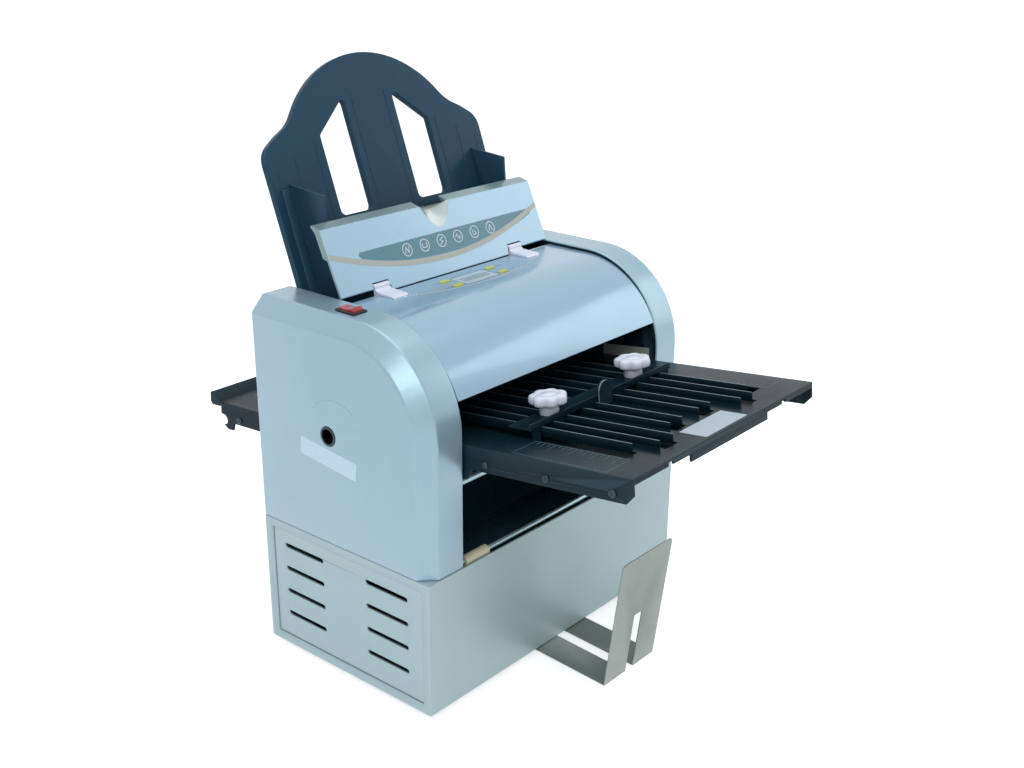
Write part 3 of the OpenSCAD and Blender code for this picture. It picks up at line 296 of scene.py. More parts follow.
def make_chrome():
    m = Mat("polished_rod", srgb(186, 210, 218), 0.22, metallic=0.55)
    m.tint(m.ramp(m.noise(60, 4, 0.6, (0.15, 1, 1)), 0, 0.4), srgb(164, 190, 200))
    m.rough_by(m.noise(90, 4, 0.5, (0.1, 1, 1)), 0.18, 0.3)
    m.bump(m.noise(2200, 2, 0.5, (0.03, 1, 1)), 0.06, 0.00003)
    return m.mat


def make_steel(name="plain_steel", tone=(150, 154, 158), rough=(0.28, 0.42), stretch=(0.04, 1, 1)):
    m = Mat(name, srgb(*tone), rough[0], metallic=1.0)
    dark = tuple(max(v - 26, 0) for v in tone)
    m.tint(m.ramp(m.noise(40, 5, 0.6), 0, 0.5), srgb(*dark))
    m.tint(m.ramp(m.noise(420, 4, 0.6, stretch), 0, 0.45), srgb(*[v + 22 for v in tone]))
    m.rough_by(m.noise(300, 4, 0.6, stretch), rough[0], rough[1])
    m.bump(m.noise(1200, 3, 0.6, stretch), 0.16, 0.00004)
    return m.mat


def make_rubber():
    m = Mat("black_rubber", srgb(30, 31, 34), 0.7, spec=0.3)
    m.tint(m.ramp(m.noise(60, 5), 0, 0.5), srgb(44, 45, 48))
    m.rough_by(m.noise(80, 4), 0.6, 0.8)
    m.bump(m.noise(900, 4), 0.35, 0.00008)
    return m.mat


def make_black_plastic():
    m = Mat("black_moulded_plastic", srgb(24, 25, 28), 0.4, coat=0.1)
    m.tint(m.ramp(m.noise(50, 4), 0, 0.5), srgb(36, 38, 42))
    m.rough_by(m.noise(70, 4), 0.34, 0.5)
    m.bump(m.noise(900, 3), 0.2, 0.00006)
    return m.mat


def make_red():
    m = Mat("red_rocker_plastic", srgb(186, 52, 50), 0.2, coat=0.6, coat_rough=0.06)
    m.bsdf.inputs["Subsurface Weight"].default_value = 0.1
    m.bsdf.inputs["Subsurface Radius"].default_value = (0.004, 0.001, 0.001)
    m.tint(m.ramp(m.noise(60, 4), 0, 0.45), srgb(160, 40, 42))
    m.rough_by(m.noise(90, 4), 0.16, 0.28)
    m.bump(m.noise(500, 2), 0.05, 0.00004)
    return m.mat


def make_key():
    m = Mat("key_plastic", srgb(190, 198, 96), 0.35, coat=0.3)
    m.tint(m.ramp(m.noise(120, 4), 0, 0.4), srgb(172, 182, 82))
    m.rough_by(m.noise(120, 4), 0.3, 0.42)
    m.bump(m.noise(1500, 2), 0.08, 0.00003)
    return m.mat


def make_nylon():
    m = Mat("nylon_gear", srgb(222, 220, 204), 0.5)
    m.tint(m.ramp(m.noise(50, 4), 0, 0.5), srgb(204, 202, 184))
    m.rough_by(m.noise(60, 4), 0.42, 0.56)
    m.bump(m.noise(600, 3), 0.12, 0.00005)
    return m.mat


def make_board():
    m = Mat("circuit_board", srgb(28, 84, 52), 0.35, coat=0.3)
    m.tint(m.ramp(m.noise(260, 2), 0, 0.6, 0.5, 0.56), srgb(44, 112, 70))
    m.rough_by(m.noise(200, 2), 0.3, 0.45)
    m.bump(m.noise(260, 2), 0.15, 0.0001)
    return m.mat


def make_stacker():
    tone = (132, 140, 136)
    m = Mat("stacker_sheet", srgb(*tone), 0.42, metallic=0.6, coat=0.1, coat_rough=0.35)
    m.tint(m.ramp(m.noise(900, 2), 0, 0.3), srgb(*[v + 16 for v in tone]))
    m.tint(m.ramp(m.noise(10, 5), 0, 0.4), srgb(*[v - 14 for v in tone]))
    m.rough_by(m.noise(40, 4), 0.36, 0.5)
    m.bump(m.noise(700, 3), 0.14, 0.00005)
    # painted highlight: lighter colour on sharp outer edges
    m.painted_edge_highlight(srgb(205, 208, 204), 0.6)
    return m.mat


def make_bronze():
    m = Mat("sintered_bronze", srgb(176, 142, 84), 0.45, metallic=1.0)
    m.tint(m.ramp(m.noise(300, 4), 0, 0.5), srgb(146, 112, 62))
    m.rough_by(m.noise(300, 4), 0.38, 0.55)
    m.bump(m.noise(1500, 4), 0.3, 0.00005)
    return m.mat


def make_print_and_highlight(name, tone, rough=0.4):
    """Thin printed film: ink with a faint grain. Also makes the lighter edge colour that serves as
    painted highlight.
    """
    m = Mat(name, srgb(*tone), rough, coat=0.2, coat_rough=0.2)
    m.tint(m.ramp(m.noise(400, 3), 0, 0.3), srgb(*[max(v - 14, 0) for v in tone]))
    m.rough_by(m.noise(200, 3), rough - 0.06, rough + 0.06)
    m.bump(m.noise(1800, 2), 0.05, 0.00002)
    return m.mat


def make_glass():
    m = Mat("display_film", srgb(184, 204, 212), 0.14, coat=0.3, coat_rough=0.03)
    m.tint(m.ramp(m.noise(30, 3), 0, 0.4), srgb(172, 194, 204))
    m.rough_by(m.noise(40, 3), 0.08, 0.16)
    m.bump(m.noise(900, 2), 0.02, 0.00002)
    return m.mat


SILVER = make_silver()
BASE_PAINT = make_base_paint()
HOOD = make_hood()
LID_FACE = make_lid_face()
# painted reflection colour for the lid's top bevel and back
LID_PAINTED_REFLECTION = make_lid_painted_reflection()
LID_SCOOP = make_scoop()
BLACK = make_black()
# lighter grey-blue for fin tops and tab sides: painted highlight
FIN_PAINTED_HIGHLIGHT = make_print_and_highlight("fin_painted_highlight", (112, 132, 142), 0.24)
TRAY = make_tray_blue()
WHITE = make_white()
CREAM = make_cream()
CHROME = make_chrome()
STEEL = make_steel()
BLACK_STEEL = make_steel("blackened_screw", (58, 68, 74), (0.26, 0.38))
RUBBER = make_rubber()
BLACK_PLASTIC = make_black_plastic()
RED = make_red()
KEY = make_key()
NYLON = make_nylon()
BOARD = make_board()
STACKER = make_stacker()
BRONZE = make_bronze()
GLASS = make_glass()
INK_TEAL = make_print_and_highlight("teal_print", (84, 132, 146), 0.3)
INK_WHITE = make_print_and_highlight("white_print", (232, 238, 240))
INK_GREY = make_print_and_highlight("warm_grey_print", (176, 178, 168))
INK_SCALE = make_print_and_highlight("scale_print", (92, 118, 130))
LABEL = make_print_and_highlight("blank_label", (208, 233, 250), 0.45)
PLATE_LABEL = make_print_and_highlight("plate_label", (176, 190, 202), 0.4)
INK_SEGMENT = make_print_and_highlight("grey_print", (104, 122, 130), 0.4)

MATERIALS = {
    "silver_cover": SILVER, "base_paint": BASE_PAINT, "hood_gloss": HOOD, "satin_black": BLACK,
    "tray_plastic": TRAY, "steel": STEEL, "chrome": CHROME, "rubber": RUBBER,
    "white_plastic": WHITE, "cream_plastic": CREAM, "gear_plastic": NYLON, "rocker_red": RED,
    "black_plastic": BLACK_PLASTIC, "key_plastic": KEY, "display_glass": GLASS, "board": BOARD,
    "stacker_steel": STACKER, "bronze": BRONZE,
}
SLOT_OF = {s["node"]: s["material_slot"] for s in frame["record"]["subparts"]}


# ---------------------------------------------------------------- mesh helpers
SHARP_DEG = 28


def add_object(name, bm, material, smooth=True):
    """Makes an object from a finished bmesh and frees it."""
    mesh = bpy.data.meshes.new(name)
    bm.to_mesh(mesh)
    bm.free()
    obj = bpy.data.objects.new(name, mesh)
    bpy.context.scene.collection.objects.link(obj)
    mesh.materials.append(material)
    if smooth:
        mesh.shade_smooth()
    return obj


def bridge(bm, a, b):
    """Faces between two closed rings with the same number of points."""
    n = len(a)
    for i in range(n):
        bm.faces.new((a[i], a[(i + 1) % n], b[(i + 1) % n], b[i]))


def circle(bm, r, z, n):
    """A closed ring of n points, r from the z axis."""
    turns = [2 * math.pi * i / n for i in range(n)]
    return [bm.verts.new((r * math.cos(a), r * math.sin(a), z)) for a in turns]


def clean_copy(node):
    """A node's mesh with its doubled points joined and its flat faces whole."""
    bm = bmesh.new()
    bm.from_mesh(nodes[node].data)
    bmesh.ops.remove_doubles(bm, verts=bm.verts, dist=1e-6)
    bmesh.ops.dissolve_limit(bm, angle_limit=math.radians(1.0), verts=bm.verts, edges=bm.edges)
    return bm


def apply_modifiers(obj):
    """Puts the modifiers' result in place of the object's mesh."""
    bpy.context.view_layer.update()
    graph = bpy.context.evaluated_depsgraph_get()
    mesh = bpy.data.meshes.new_from_object(obj.evaluated_get(graph))
    old = obj.data
    obj.modifiers.clear()
    obj.data = mesh
    bpy.data.meshes.remove(old)
    return obj


def soften(obj, width, segments=2):
    """Rounds the sharp edges of a mesh."""
    b = obj.modifiers.new("round", "BEVEL")
    b.width = width
    b.segments = segments
    b.limit_method = "ANGLE"
    b.angle_limit = math.radians(SHARP_DEG)
    b.use_clamp_overlap = False
    n = obj.modifiers.new("normals", "WEIGHTED_NORMAL")
    n.mode = "FACE_AREA"
    n.weight = 80
    return apply_modifiers(obj)


def refine(node, body, width, material=None):
    """A copy of a CAD node with rounded edges stands for it."""
    obj = add_object(node + "_shell", clean_copy(node), material or MATERIALS[SLOT_OF[node]])
    soften(obj, width)
    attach(obj, body)
    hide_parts(node)
    return obj


def piece(obj, body):
    """Sets the body that a piece rides."""
    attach(obj, body)
    return obj


def marks(name, bm, material, plane, body):
    """Strokes drawn flat in bm are set on a plane as one printed piece."""
    bmesh.ops.transform(bm, matrix=plane, verts=bm.verts)
    bmesh.ops.recalc_face_normals(bm, faces=bm.faces)
    return piece(add_object(name, bm, material, smooth=False), body)


def paint(node):
    """A CAD node that keeps its own mesh gets its finish."""
    data = nodes[node].data
    data.materials.clear()
    data.materials.append(MATERIALS[SLOT_OF[node]])


def body_of(node):
    """The record's body that a CAD node belongs to."""
    for body, members in frame["record"]["behaviour"]["bodies"].items():
        if node in members:
            return body
    raise ValueError(node)


def on_plane(origin, right, up, normal):
    """Matrix that takes (x, y, z) to origin + x right + y up + z normal."""
    m = Matrix.Identity(4)
    for i, axis in enumerate((right, up, normal)):
        m.col[i][:3] = axis
    m.translation = origin
    return m


def extruded(name, outline, depth, matrix, material, round_w=0.0):
    """A flat outline, thickened along its normal and set on a plane."""
    bm = bmesh.new()
    verts = [bm.verts.new((p[0], p[1], 0)) for p in outline]
    face = bm.faces.new(verts)
    if face.normal.z < 0:
        face.normal_flip()
    ext = bmesh.ops.extrude_face_region(bm, geom=[face])
    for v in ext["geom"]:
        if isinstance(v, bmesh.types.BMVert):
            v.co.z += depth
    bmesh.ops.transform(bm, matrix=matrix, verts=bm.verts)
    bmesh.ops.recalc_face_normals(bm, faces=bm.faces)
    obj = add_object(name, bm, material)
    if round_w:
        soften(obj, round_w)
    else:
        obj.data.shade_flat()
    return obj


def arc_pts(cx, cy, r, a0, a1, n):
    """n + 1 points on an arc from a0 to a1 degrees."""
    return [(cx + r * math.cos(math.radians(a0 + (a1 - a0) * i / n)),
             cy + r * math.sin(math.radians(a0 + (a1 - a0) * i / n))) for i in range(n + 1)]


def rounded_rect(x0, y0, x1, y1, r, n=5):
    """A rectangle's outline with corners of radius r."""
    return (arc_pts(x1 - r, y0 + r, r, -90, 0, n) + arc_pts(x1 - r, y1 - r, r, 0, 90, n)
            + arc_pts(x0 + r, y1 - r, r, 90, 180, n) + arc_pts(x0 + r, y0 + r, r, 180, 270, n))


def joined(name, objs):
    """Joins pieces of one material set into one object."""
    bpy.ops.object.select_all(action="DESELECT")
    for o in objs:
        o.select_set(True)
    bpy.context.view_layer.objects.active = objs[0]
    bpy.ops.object.join()
    out = bpy.context.view_layer.objects.active
    out.name = name
    return out


# Planes that graphics and small parts sit on
X_AXIS = Vector((1, 0, 0))
Y_AXIS = Vector((0, 1, 0))
Z_AXIS = Vector((0, 0, 1))
LID_UP = Vector((0, math.sin(LID_LEAN), math.cos(LID_LEAN)))
LID_OUT = Vector((0, -math.cos(LID_LEAN), math.sin(LID_LEAN)))
LID_PLANE = on_plane(LID_FOOT, X_AXIS, LID_UP, LID_OUT)
P1_OUT = Vector((0, -math.cos(PLATE1_TILT), math.sin(PLATE1_TILT)))
P1_UP = Vector((0, math.sin(PLATE1_TILT), math.cos(PLATE1_TILT)))
P1_PLANE = on_plane(Vector((PATH_X, BASE_FRONT, PLATE1_Z)), -X_AXIS, P1_OUT, P1_UP)
P2_OUT = Vector((0, math.cos(PLATE2_TILT), -math.sin(PLATE2_TILT)))
P2_UP = Vector((0, math.sin(PLATE2_TILT), math.cos(PLATE2_TILT)))
P2_PLANE = on_plane(Vector((PATH_X, BASE_BACK, PLATE2_Z)), X_AXIS, P2_OUT, P2_UP)
TRAY_UP = Vector((0, math.sin(TRAY_LEAN), math.cos(TRAY_LEAN)))
TRAY_OUT = Vector((0, -math.cos(TRAY_LEAN), math.sin(TRAY_LEAN)))
TRAY_FOOT = Vector((PATH_X, SHIFT_Y + 81.8 * MM, COVER_TOP))
TRAY_PLANE = on_plane(TRAY_FOOT, X_AXIS, TRAY_UP, TRAY_OUT)
HOOD_PLANE = on_plane(Vector((PATH_X, SHIFT_Y, HOOD_TOP)), X_AXIS, Y_AXIS, Z_AXIS)
SIDE_PLANE = on_plane(Vector((BODY_LEFT, SHIFT_Y, 0)), Y_AXIS, Z_AXIS, -X_AXIS)


# ---------------------------------------------------------------- CAD nodes with rounded edges
# Edge widths in mm
ROUNDED = {
    "left_end_cover": 1.6, "right_end_cover": 1.4, "base_shell": 0.9, "vent_panel": 0.5,
    "rear_cover": 0.6, "front_hood": 0.5, "exit_deck": 0.3, "paper_tray": 0.7,
    "left_guide": 0.5, "right_guide": 0.5, "front_plate_upper": 0.35, "front_plate_lower": 0.3,
    "rear_plate_upper": 0.35, "rear_plate_lower": 0.3, "front_stop_bar": 0.3,
    "rear_stop_bar": 0.3, "stacker": 0.25, "lid_hinges": 0.5, "hopper_back": 0.3,
    "switch_bezel": 0.4, "power_rocker": 0.5, "mains_inlet": 0.5, "crank_bush": 0.25,
    "left_sleeve": 0.4, "right_sleeve": 0.4, "rubber_feet": 0.6, "start_key": 0.4,
    "stop_key": 0.4, "plus_key": 0.4, "minus_key": 0.4, "left_side_frame": 0.25,
    "right_side_frame": 0.25,
}
# Nodes that this script models anew
REPLACED = ["hopper_lid", "front_knob_left", "front_knob_right", "rear_knob_left",
            "rear_knob_right", "front_plate_screws", "rear_plate_screws", "display_window"]
# Nodes whose finish isn't their slot's
FINISH = {"crank_bush": BLACK_STEEL, "exit_deck": BLACK}
FIN_LOW = 5.7 * MM
REAR_FIN_TOP = 6.4 * MM


def dress_cad():
    """Rounded copies of the CAD nodes, a lighter colour on the fins' top faces as painted
    highlight, and paint on the rest.
    """
    for node, width in ROUNDED.items():
        shell = refine(node, body_of(node), width * MM, material=FINISH.get(node))
        if node == "front_plate_upper":
            paint_fin_highlights(shell, P1_PLANE, FIN_LOW)
        elif node == "rear_plate_upper":
            paint_fin_highlights(shell, P2_PLANE, FIN_LOW, REAR_FIN_TOP)
    for node in nodes:
        if node not in ROUNDED and node not in REPLACED:
            paint(node)


def paint_fin_highlights(obj, plane, low, high=1.0):
    """Gives the narrow upper faces of a plate's fins and stops a lighter colour as a painted
    highlight.
    """
    largest = 3e-4
    to_plane = plane.inverted()
    turn = to_plane.to_3x3()
    obj.data.materials.append(FIN_PAINTED_HIGHLIGHT)
    index = len(obj.data.materials) - 1
    # small upward faces near the fin tops take the painted highlight colour
    for p in obj.data.polygons:
        at = to_plane @ p.center
        if (turn @ p.normal).z > 0.5 and low < at.z < high and p.area < largest:
            p.material_index = index


# ---------------------------------------------------------------- knobs
def star_knob(node, body, plane, x):
    """A seven-lobed knob with a crowned top and a hub, turned about its screw."""
    stem_r, stem_low, top = 8 * MM, 7.9 * MM, 25 * MM
    head, lobes, r_out, r_in = 8.4 * MM, 7, 15.9 * MM, 12.9 * MM
    screw_r, screw_low = 2.5 * MM, -4.2 * MM
    r_mid = (r_in + r_out) / 2
    n = 168
    bm = bmesh.new()
    # rings as (height, inset, share of the lobes' depth)
    rings = [
        (top - head, 2.0 * MM, 0.7), (top - head + 0.9 * MM, 0.7 * MM, 0.95),
        (top - head + 2 * MM, 0.15 * MM, 1), (top - head / 2, 0, 1),
        (top - 2.2 * MM, 0.25 * MM, 1), (top - 1.0 * MM, 0.9 * MM, 0.95),
        (top - 0.3 * MM, 2.2 * MM, 0.8), (top, 4.2 * MM, 0.5),
    ]
    loops = []
    for z, inset, share in rings:
        loop = []
        for i in range(n):
            a = 2 * math.pi * i / n
            wave = (0.5 + 0.5 * math.cos(lobes * a)) ** 0.6
            r = r_in + (r_out - r_in) * wave
            r = r_mid + (r - r_mid) * share - inset
            loop.append(bm.verts.new((r * math.cos(a), r * math.sin(a), z)))
        loops.append(loop)
    for a, b in zip(loops, loops[1:]):
        bridge(bm, a, b)
    # the dished top, as (radius, height)
    dish = [(9.4 * MM, top - 0.05 * MM), (8.6 * MM, top - 0.5 * MM), (5.2 * MM, top - 0.6 * MM),
            (4.8 * MM, top - 0.15 * MM), (2.0 * MM, top)]
    last = loops[-1]
    for ring in [circle(bm, r, z, n) for r, z in dish]:
        bridge(bm, last, ring)
        last = ring
    bm.faces.new(last)
    # the stem and the screw below it
    stem = [(stem_r + 1.6 * MM, top - head), (stem_r + 0.4 * MM, top - head - 0.5 * MM),
            (stem_r, top - head - 1.6 * MM), (stem_r, stem_low + 0.5 * MM),
            (stem_r - 0.5 * MM, stem_low), (screw_r, stem_low), (screw_r, screw_low)]
    last = loops[0]
    for ring in [circle(bm, r, z, n) for r, z in stem]:
        bridge(bm, ring, last)
        last = ring
    bm.faces.new(list(reversed(last)))
    bmesh.ops.recalc_face_normals(bm, faces=bm.faces)
    place = plane @ Matrix.Translation((x, KNOB_OUT, 0))
    bmesh.ops.transform(bm, matrix=place, verts=bm.verts)
    obj = add_object(node + "_star", bm, WHITE)
    piece(obj, body)
    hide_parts(node)


# ---------------------------------------------------------------- screws
def pan_screw(bm, matrix, r, h, shank_r, shank):
    """A domed head with a crossed recess, and its shank."""
    n = 32
    start = len(bm.verts)
    dome = [(r, 0), (r, 0.35 * h), (0.93 * r, 0.62 * h), (0.75 * r, 0.85 * h), (0.5 * r, 0.97 * h)]
    loops = [circle(bm, q, z, n) for q, z in dome]
    # crossed recess: the inner loop goes in and out with the cross's arms
    cross = []
    for i in range(n):
        a = 2 * math.pi * i / n
        q = 0.16 * r + 0.26 * r * abs(math.cos(2 * a)) ** 3
        cross.append((q * math.cos(a), q * math.sin(a)))
    loops.append([bm.verts.new((x, y, 0.99 * h)) for x, y in cross])
    loops.append([bm.verts.new((0.75 * x, 0.75 * y, 0.5 * h)) for x, y in cross])
    for a, b in zip(loops, loops[1:]):
        bridge(bm, a, b)
    bm.faces.new(loops[-1])
    chain = [loops[0]] + [circle(bm, shank_r, z, n) for z in (0, -shank)]
    for a, b in zip(chain, chain[1:]):
        bridge(bm, b, a)
    bm.faces.new(list(reversed(chain[-1])))
    bm.verts.ensure_lookup_table()
    bmesh.ops.transform(bm, matrix=matrix, verts=bm.verts[start:])


def flange_screws(node, body, plane, places):
    """Screws through both side flanges of a plate, places mm out along it."""
    head_r, head_h, shank_r, shank, drop = 3.5 * MM, 1.6 * MM, 2 * MM, 4.4 * MM, -13.6 * MM
    bm = bmesh.new()
    for out in places:
        for side in (-1, 1):
            seat = Vector((side * PLATE_HALF, out * MM, drop))
            local = on_plane(seat, Vector((0, 1, 0)), Vector((0, 0, side)), Vector((side, 0, 0)))
            pan_screw(bm, plane @ local, head_r, head_h, shank_r, shank)
    bmesh.ops.recalc_face_normals(bm, faces=bm.faces)
    obj = add_object(node + "_heads", bm, BLACK_STEEL)
    piece(obj, body)
    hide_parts(node)


# ---------------------------------------------------------------- hopper lid
def hopper_lid():
    """The lid's own mesh, with rounded edges, and its top bevel and back in a darker grey-green as
    a painted reflection of the dark tray.
    """
    obj = add_object("hopper_lid_shell", clean_copy("hopper_lid"), LID_FACE)
    obj.data.materials.append(LID_PAINTED_REFLECTION)
    obj.data.materials.append(LID_SCOOP)
    soften(obj, 0.5 * MM, 3)
    scoop_x, scoop_half, scoop_deep = 1.5 * MM, 19 * MM, 21 * MM
    to_plane = LID_PLANE.inverted()
    turn = to_plane.to_3x3()
    for p in obj.data.polygons:
        at = to_plane @ p.center
        facing = turn @ p.normal
        in_height = LID_H - scoop_deep < at.y < LID_H + 1 * MM
        in_scoop = abs(at.x - scoop_x) < scoop_half and in_height
        if in_scoop and at.z < -0.15 * MM and facing.z > 0.12:
            p.material_index = 2
        # top bevel and back take the painted reflection colour
        elif at.y > LID_H + 0.3 * MM or at.z < -2.0 * MM:
            p.material_index = 1
    piece(obj, "lid")
    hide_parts("hopper_lid")


def lens_outline(n=40):
    """The teal lens on the lid, in mm: straight top, bowed lower edge."""
    top, left, right = 32.2, -98.6, 120.0
    bow_x, bow_half, low, rise, power = 10.0, 108.0, 12.8, 14.4, 2.4
    pts = [(left, top - 2.6), (left + 1.5, top), (right - 4, top), (right, top - 2)]
    for i in range(n + 1):
        x = right - 2 - (right - left - 4) * i / n
        y = low + rise * abs((x - bow_x) / bow_half) ** power
        pts.append((x, min(y, top - 3)))
    return [(x * MM, y * MM) for x, y in pts]


def crescent_outline(n=60):
    """The curved band under the lens, in mm."""
    half, thick, low, rise, span = 129.0, 4.6, 10.2, 24.7, 130.0
    xs = [half * (2 * i / n - 1) for i in range(n + 1)]
    under = [(x, low + rise * (x / span) ** 2 - thick / 2) for x in xs]
    return [(x * MM, y * MM) for x, y in under + [(x, y + thick) for x, y in reversed(under)]]


# Generic folded sheets, drawn in mm about the middle of each ring
FOLDS = [
    [(-2.2, -1.6), (-0.8, 1.6), (0.8, -1.6), (2.2, 1.6)],
    [(-2.0, 1.2), (-2.0, -1.2), (2.0, -1.2), (2.0, 1.2)],
    [(-1.8, -1.8), (1.4, -0.6), (-1.4, 0.6), (1.8, 1.8)],
    [(-2.2, 0), (-0.7, 1.4), (0.7, -1.4), (2.2, 0)],
    [(-1.6, 1.8), (-1.6, -1.4), (1.8, -1.4), (0.2, 0.6)],
    [(-1.9, -1.5), (0, 1.7), (1.9, -1.5)],
]
FOLD_X = (-45.1, -24.0, -3.0, 18.0, 39.4, 61.0)


def lid_graphics():
    """The lens, the crescent under it, and six round fold marks."""
    lens = extruded("lid_lens_print", lens_outline(), FILM, LID_PLANE, INK_TEAL)
    piece(lens, "lid")
    band_film = FILM + 0.04 * MM
    band = extruded("lid_crescent_print", crescent_outline(), band_film, LID_PLANE, INK_GREY)
    piece(band, "lid")
    ring_r, line, ring_y, wide, tall = 5.6 * MM, 0.6 * MM, 24.2 * MM, 1.25, 1.6
    for k, (x, fold) in enumerate(zip(FOLD_X, FOLDS)):
        bm = bmesh.new()
        stroke_ring(bm, ring_r, line, INK_H)
        stroke_path(bm, [(wide * a * MM, tall * b * MM) for a, b in fold], line, INK_H)
        place = LID_PLANE @ Matrix.Translation((x * MM, ring_y, FILM))
        marks("fold_mark_%d" % (k + 1), bm, INK_WHITE, place, "lid")


def stroke_ring(bm, r, w, h, n=48):
    """A flat ring of outer radius r, w wide and h thick."""
    rings = [circle(bm, q, z, n) for q, z in ((r, 0), (r, h), (r - w, h), (r - w, 0))]
    for a, b in zip(rings, rings[1:] + rings[:1]):
        bridge(bm, a, b)


def stroke_path(bm, pts, w, h):
    """Straight strokes between the points, w wide and h thick."""
    for (x0, y0), (x1, y1) in zip(pts, pts[1:]):
        d = Vector((x1 - x0, y1 - y0)).normalized()
        nrm = Vector((-d.y, d.x)) * w / 2
        d = d * w / 2
        corners = [(x0 - d.x + nrm.x, y0 - d.y + nrm.y), (x0 - d.x - nrm.x, y0 - d.y - nrm.y),
                   (x1 + d.x - nrm.x, y1 + d.y - nrm.y), (x1 + d.x + nrm.x, y1 + d.y + nrm.y)]
        lo = [bm.verts.new((x, y, 0)) for x, y in corners]
        hi = [bm.verts.new((x, y, h)) for x, y in corners]
        bm.faces.new(lo)
        bm.faces.new(list(reversed(hi)))
        for i in range(4):
            bm.faces.new((lo[i], hi[i], hi[(i + 1) % 4], lo[(i + 1) % 4]))


# ---------------------------------------------------------------- tray rims and beads
def back_loops(node, plane, depth):
    """The closed loops where a sheet's back face, depth behind the plane, meets its walls."""
    to_plane = plane.inverted()
    turn = to_plane.to_3x3()
    bm = bmesh.new()
    bm.from_mesh(nodes[node].data)
    bmesh.ops.remove_doubles(bm, verts=bm.verts, dist=1e-6)
    after = {}
    for f in bm.faces:
        facing = turn @ f.normal
        off = abs((to_plane @ f.calc_center_median()).z + depth)
        if facing.z > -0.99 or off > 0.05 * MM:
            continue
        for loop in f.loops:
            e = loop.edge
            others = [g for g in e.link_faces if g is not f]
            if others and (turn @ others[0].normal).z > -0.9:
                after[loop.vert.index] = loop.link_loop_next.vert.index
    bm.verts.ensure_lookup_table()
    points = {i: to_plane @ bm.verts[i].co for i in after}
    loops = []
    while after:
        start = next(iter(after))
        cur = start
        ring = []
        while cur in after:
            ring.append((points[cur].x, points[cur].y))
            cur = after.pop(cur)
        if cur == start and len(ring) > 3:
            loops.append(ring)
    bm.free()
    return loops


def inset_loop(ring, d):
    """The ring moved d to the side its face lies on (to the right, seen from the front)."""
    out = []
    n = len(ring)
    for i in range(n):
        a, b, c = (Vector(ring[(i + k) % n]) for k in (-1, 0, 1))
        u, v = (b - a).normalized(), (c - b).normalized()
        n1, n2 = Vector((u.y, -u.x)), Vector((v.y, -v.x))
        m = n1 + n2
        out.append(tuple(b + m * (d / max(1 + n1.dot(n2), 0.3))))
    return out


# Beads on the tray's face, as (distance from its middle, foot, top) in mm
BEADS = [(-120.5, 30, 96), (120.5, 30, 96), (-74, 34, 118), (74, 34, 118), (-99, 34, 108),
         (99, 34, 108), (-20, 34, 150), (20, 34, 150)]


def tray_rims():
    """A short rim behind the tray's outline and its two windows, and faint beads on its face."""
    depth, thick, reach, least_span = 3 * MM, 1.8 * MM, 3.2 * MM, 30 * MM
    for k, ring in enumerate(back_loops("paper_tray", TRAY_PLANE, depth)):
        heights = [p[1] for p in ring]
        if max(heights) - min(heights) < least_span:
            continue
        inner = inset_loop(ring, thick)
        bm = bmesh.new()
        lines = ((ring, -depth), (ring, -depth - reach), (inner, -depth - reach), (inner, -depth))
        rows = [[bm.verts.new((p[0], p[1], z)) for p in line] for line, z in lines]
        for a, b in zip(rows, rows[1:] + rows[:1]):
            bridge(bm, a, b)
        bmesh.ops.recalc_face_normals(bm, faces=bm.faces)
        bmesh.ops.transform(bm, matrix=TRAY_PLANE, verts=bm.verts)
        obj = add_object("tray_rim_%d" % (k + 1), bm, TRAY)
        soften(obj, 0.3 * MM)
        piece(obj, "tray")
    half, corner, height, edge = 0.5, 0.4 * MM, 0.35 * MM, 0.15 * MM
    beads = []
    for x, low, high in BEADS:
        outline = rounded_rect((x - half) * MM, low * MM, (x + half) * MM, high * MM, corner)
        beads.append(extruded("bead", outline, height, TRAY_PLANE, TRAY, round_w=edge))
    piece(joined("tray_beads", beads), "tray")


# ---------------------------------------------------------------- hood trim and display
def hood_trim():
    """The fine white arc on the hood's flat top."""
    r, mid, apex_y, left, right, n = 207.0, 4.0, -7.5, -81.6, 89.7, 60
    pts = []
    for i in range(n + 1):
        x = left + (right - left) * i / n
        pts.append((x * MM, (apex_y + r - math.sqrt(r * r - (x - mid) ** 2)) * MM))
    bm = bmesh.new()
    stroke_path(bm, pts, 1.2 * MM, 0.1 * MM)
    marks("hood_arc_print", bm, INK_WHITE, HOOD_PLANE, "machine")


def display_digits(height):
    """Four plain digits, all segments lit."""
    half, tall, pitch, y, line = 2.6, 3.6, 8.2, 7.1, 0.95
    bm = bmesh.new()
    for i in range(4):
        x = (i - 1.5) * pitch
        digit = [((x - half, y + up), (x + half, y + up)) for up in (tall, 0, -tall)]
        digit += [((x + side * half, y + foot), (x + side * half, y + foot + tall * 0.92))
                  for side in (-1, 1) for foot in (0.15, -tall)]
        for a, b in digit:
            stroke_path(bm, [(a[0] * MM, a[1] * MM), (b[0] * MM, b[1] * MM)], line * MM, INK_H)
    place = HOOD_PLANE @ Matrix.Translation((0, 0, height - HOOD_TOP))
    marks("display_digits", bm, INK_SEGMENT, place, "machine")


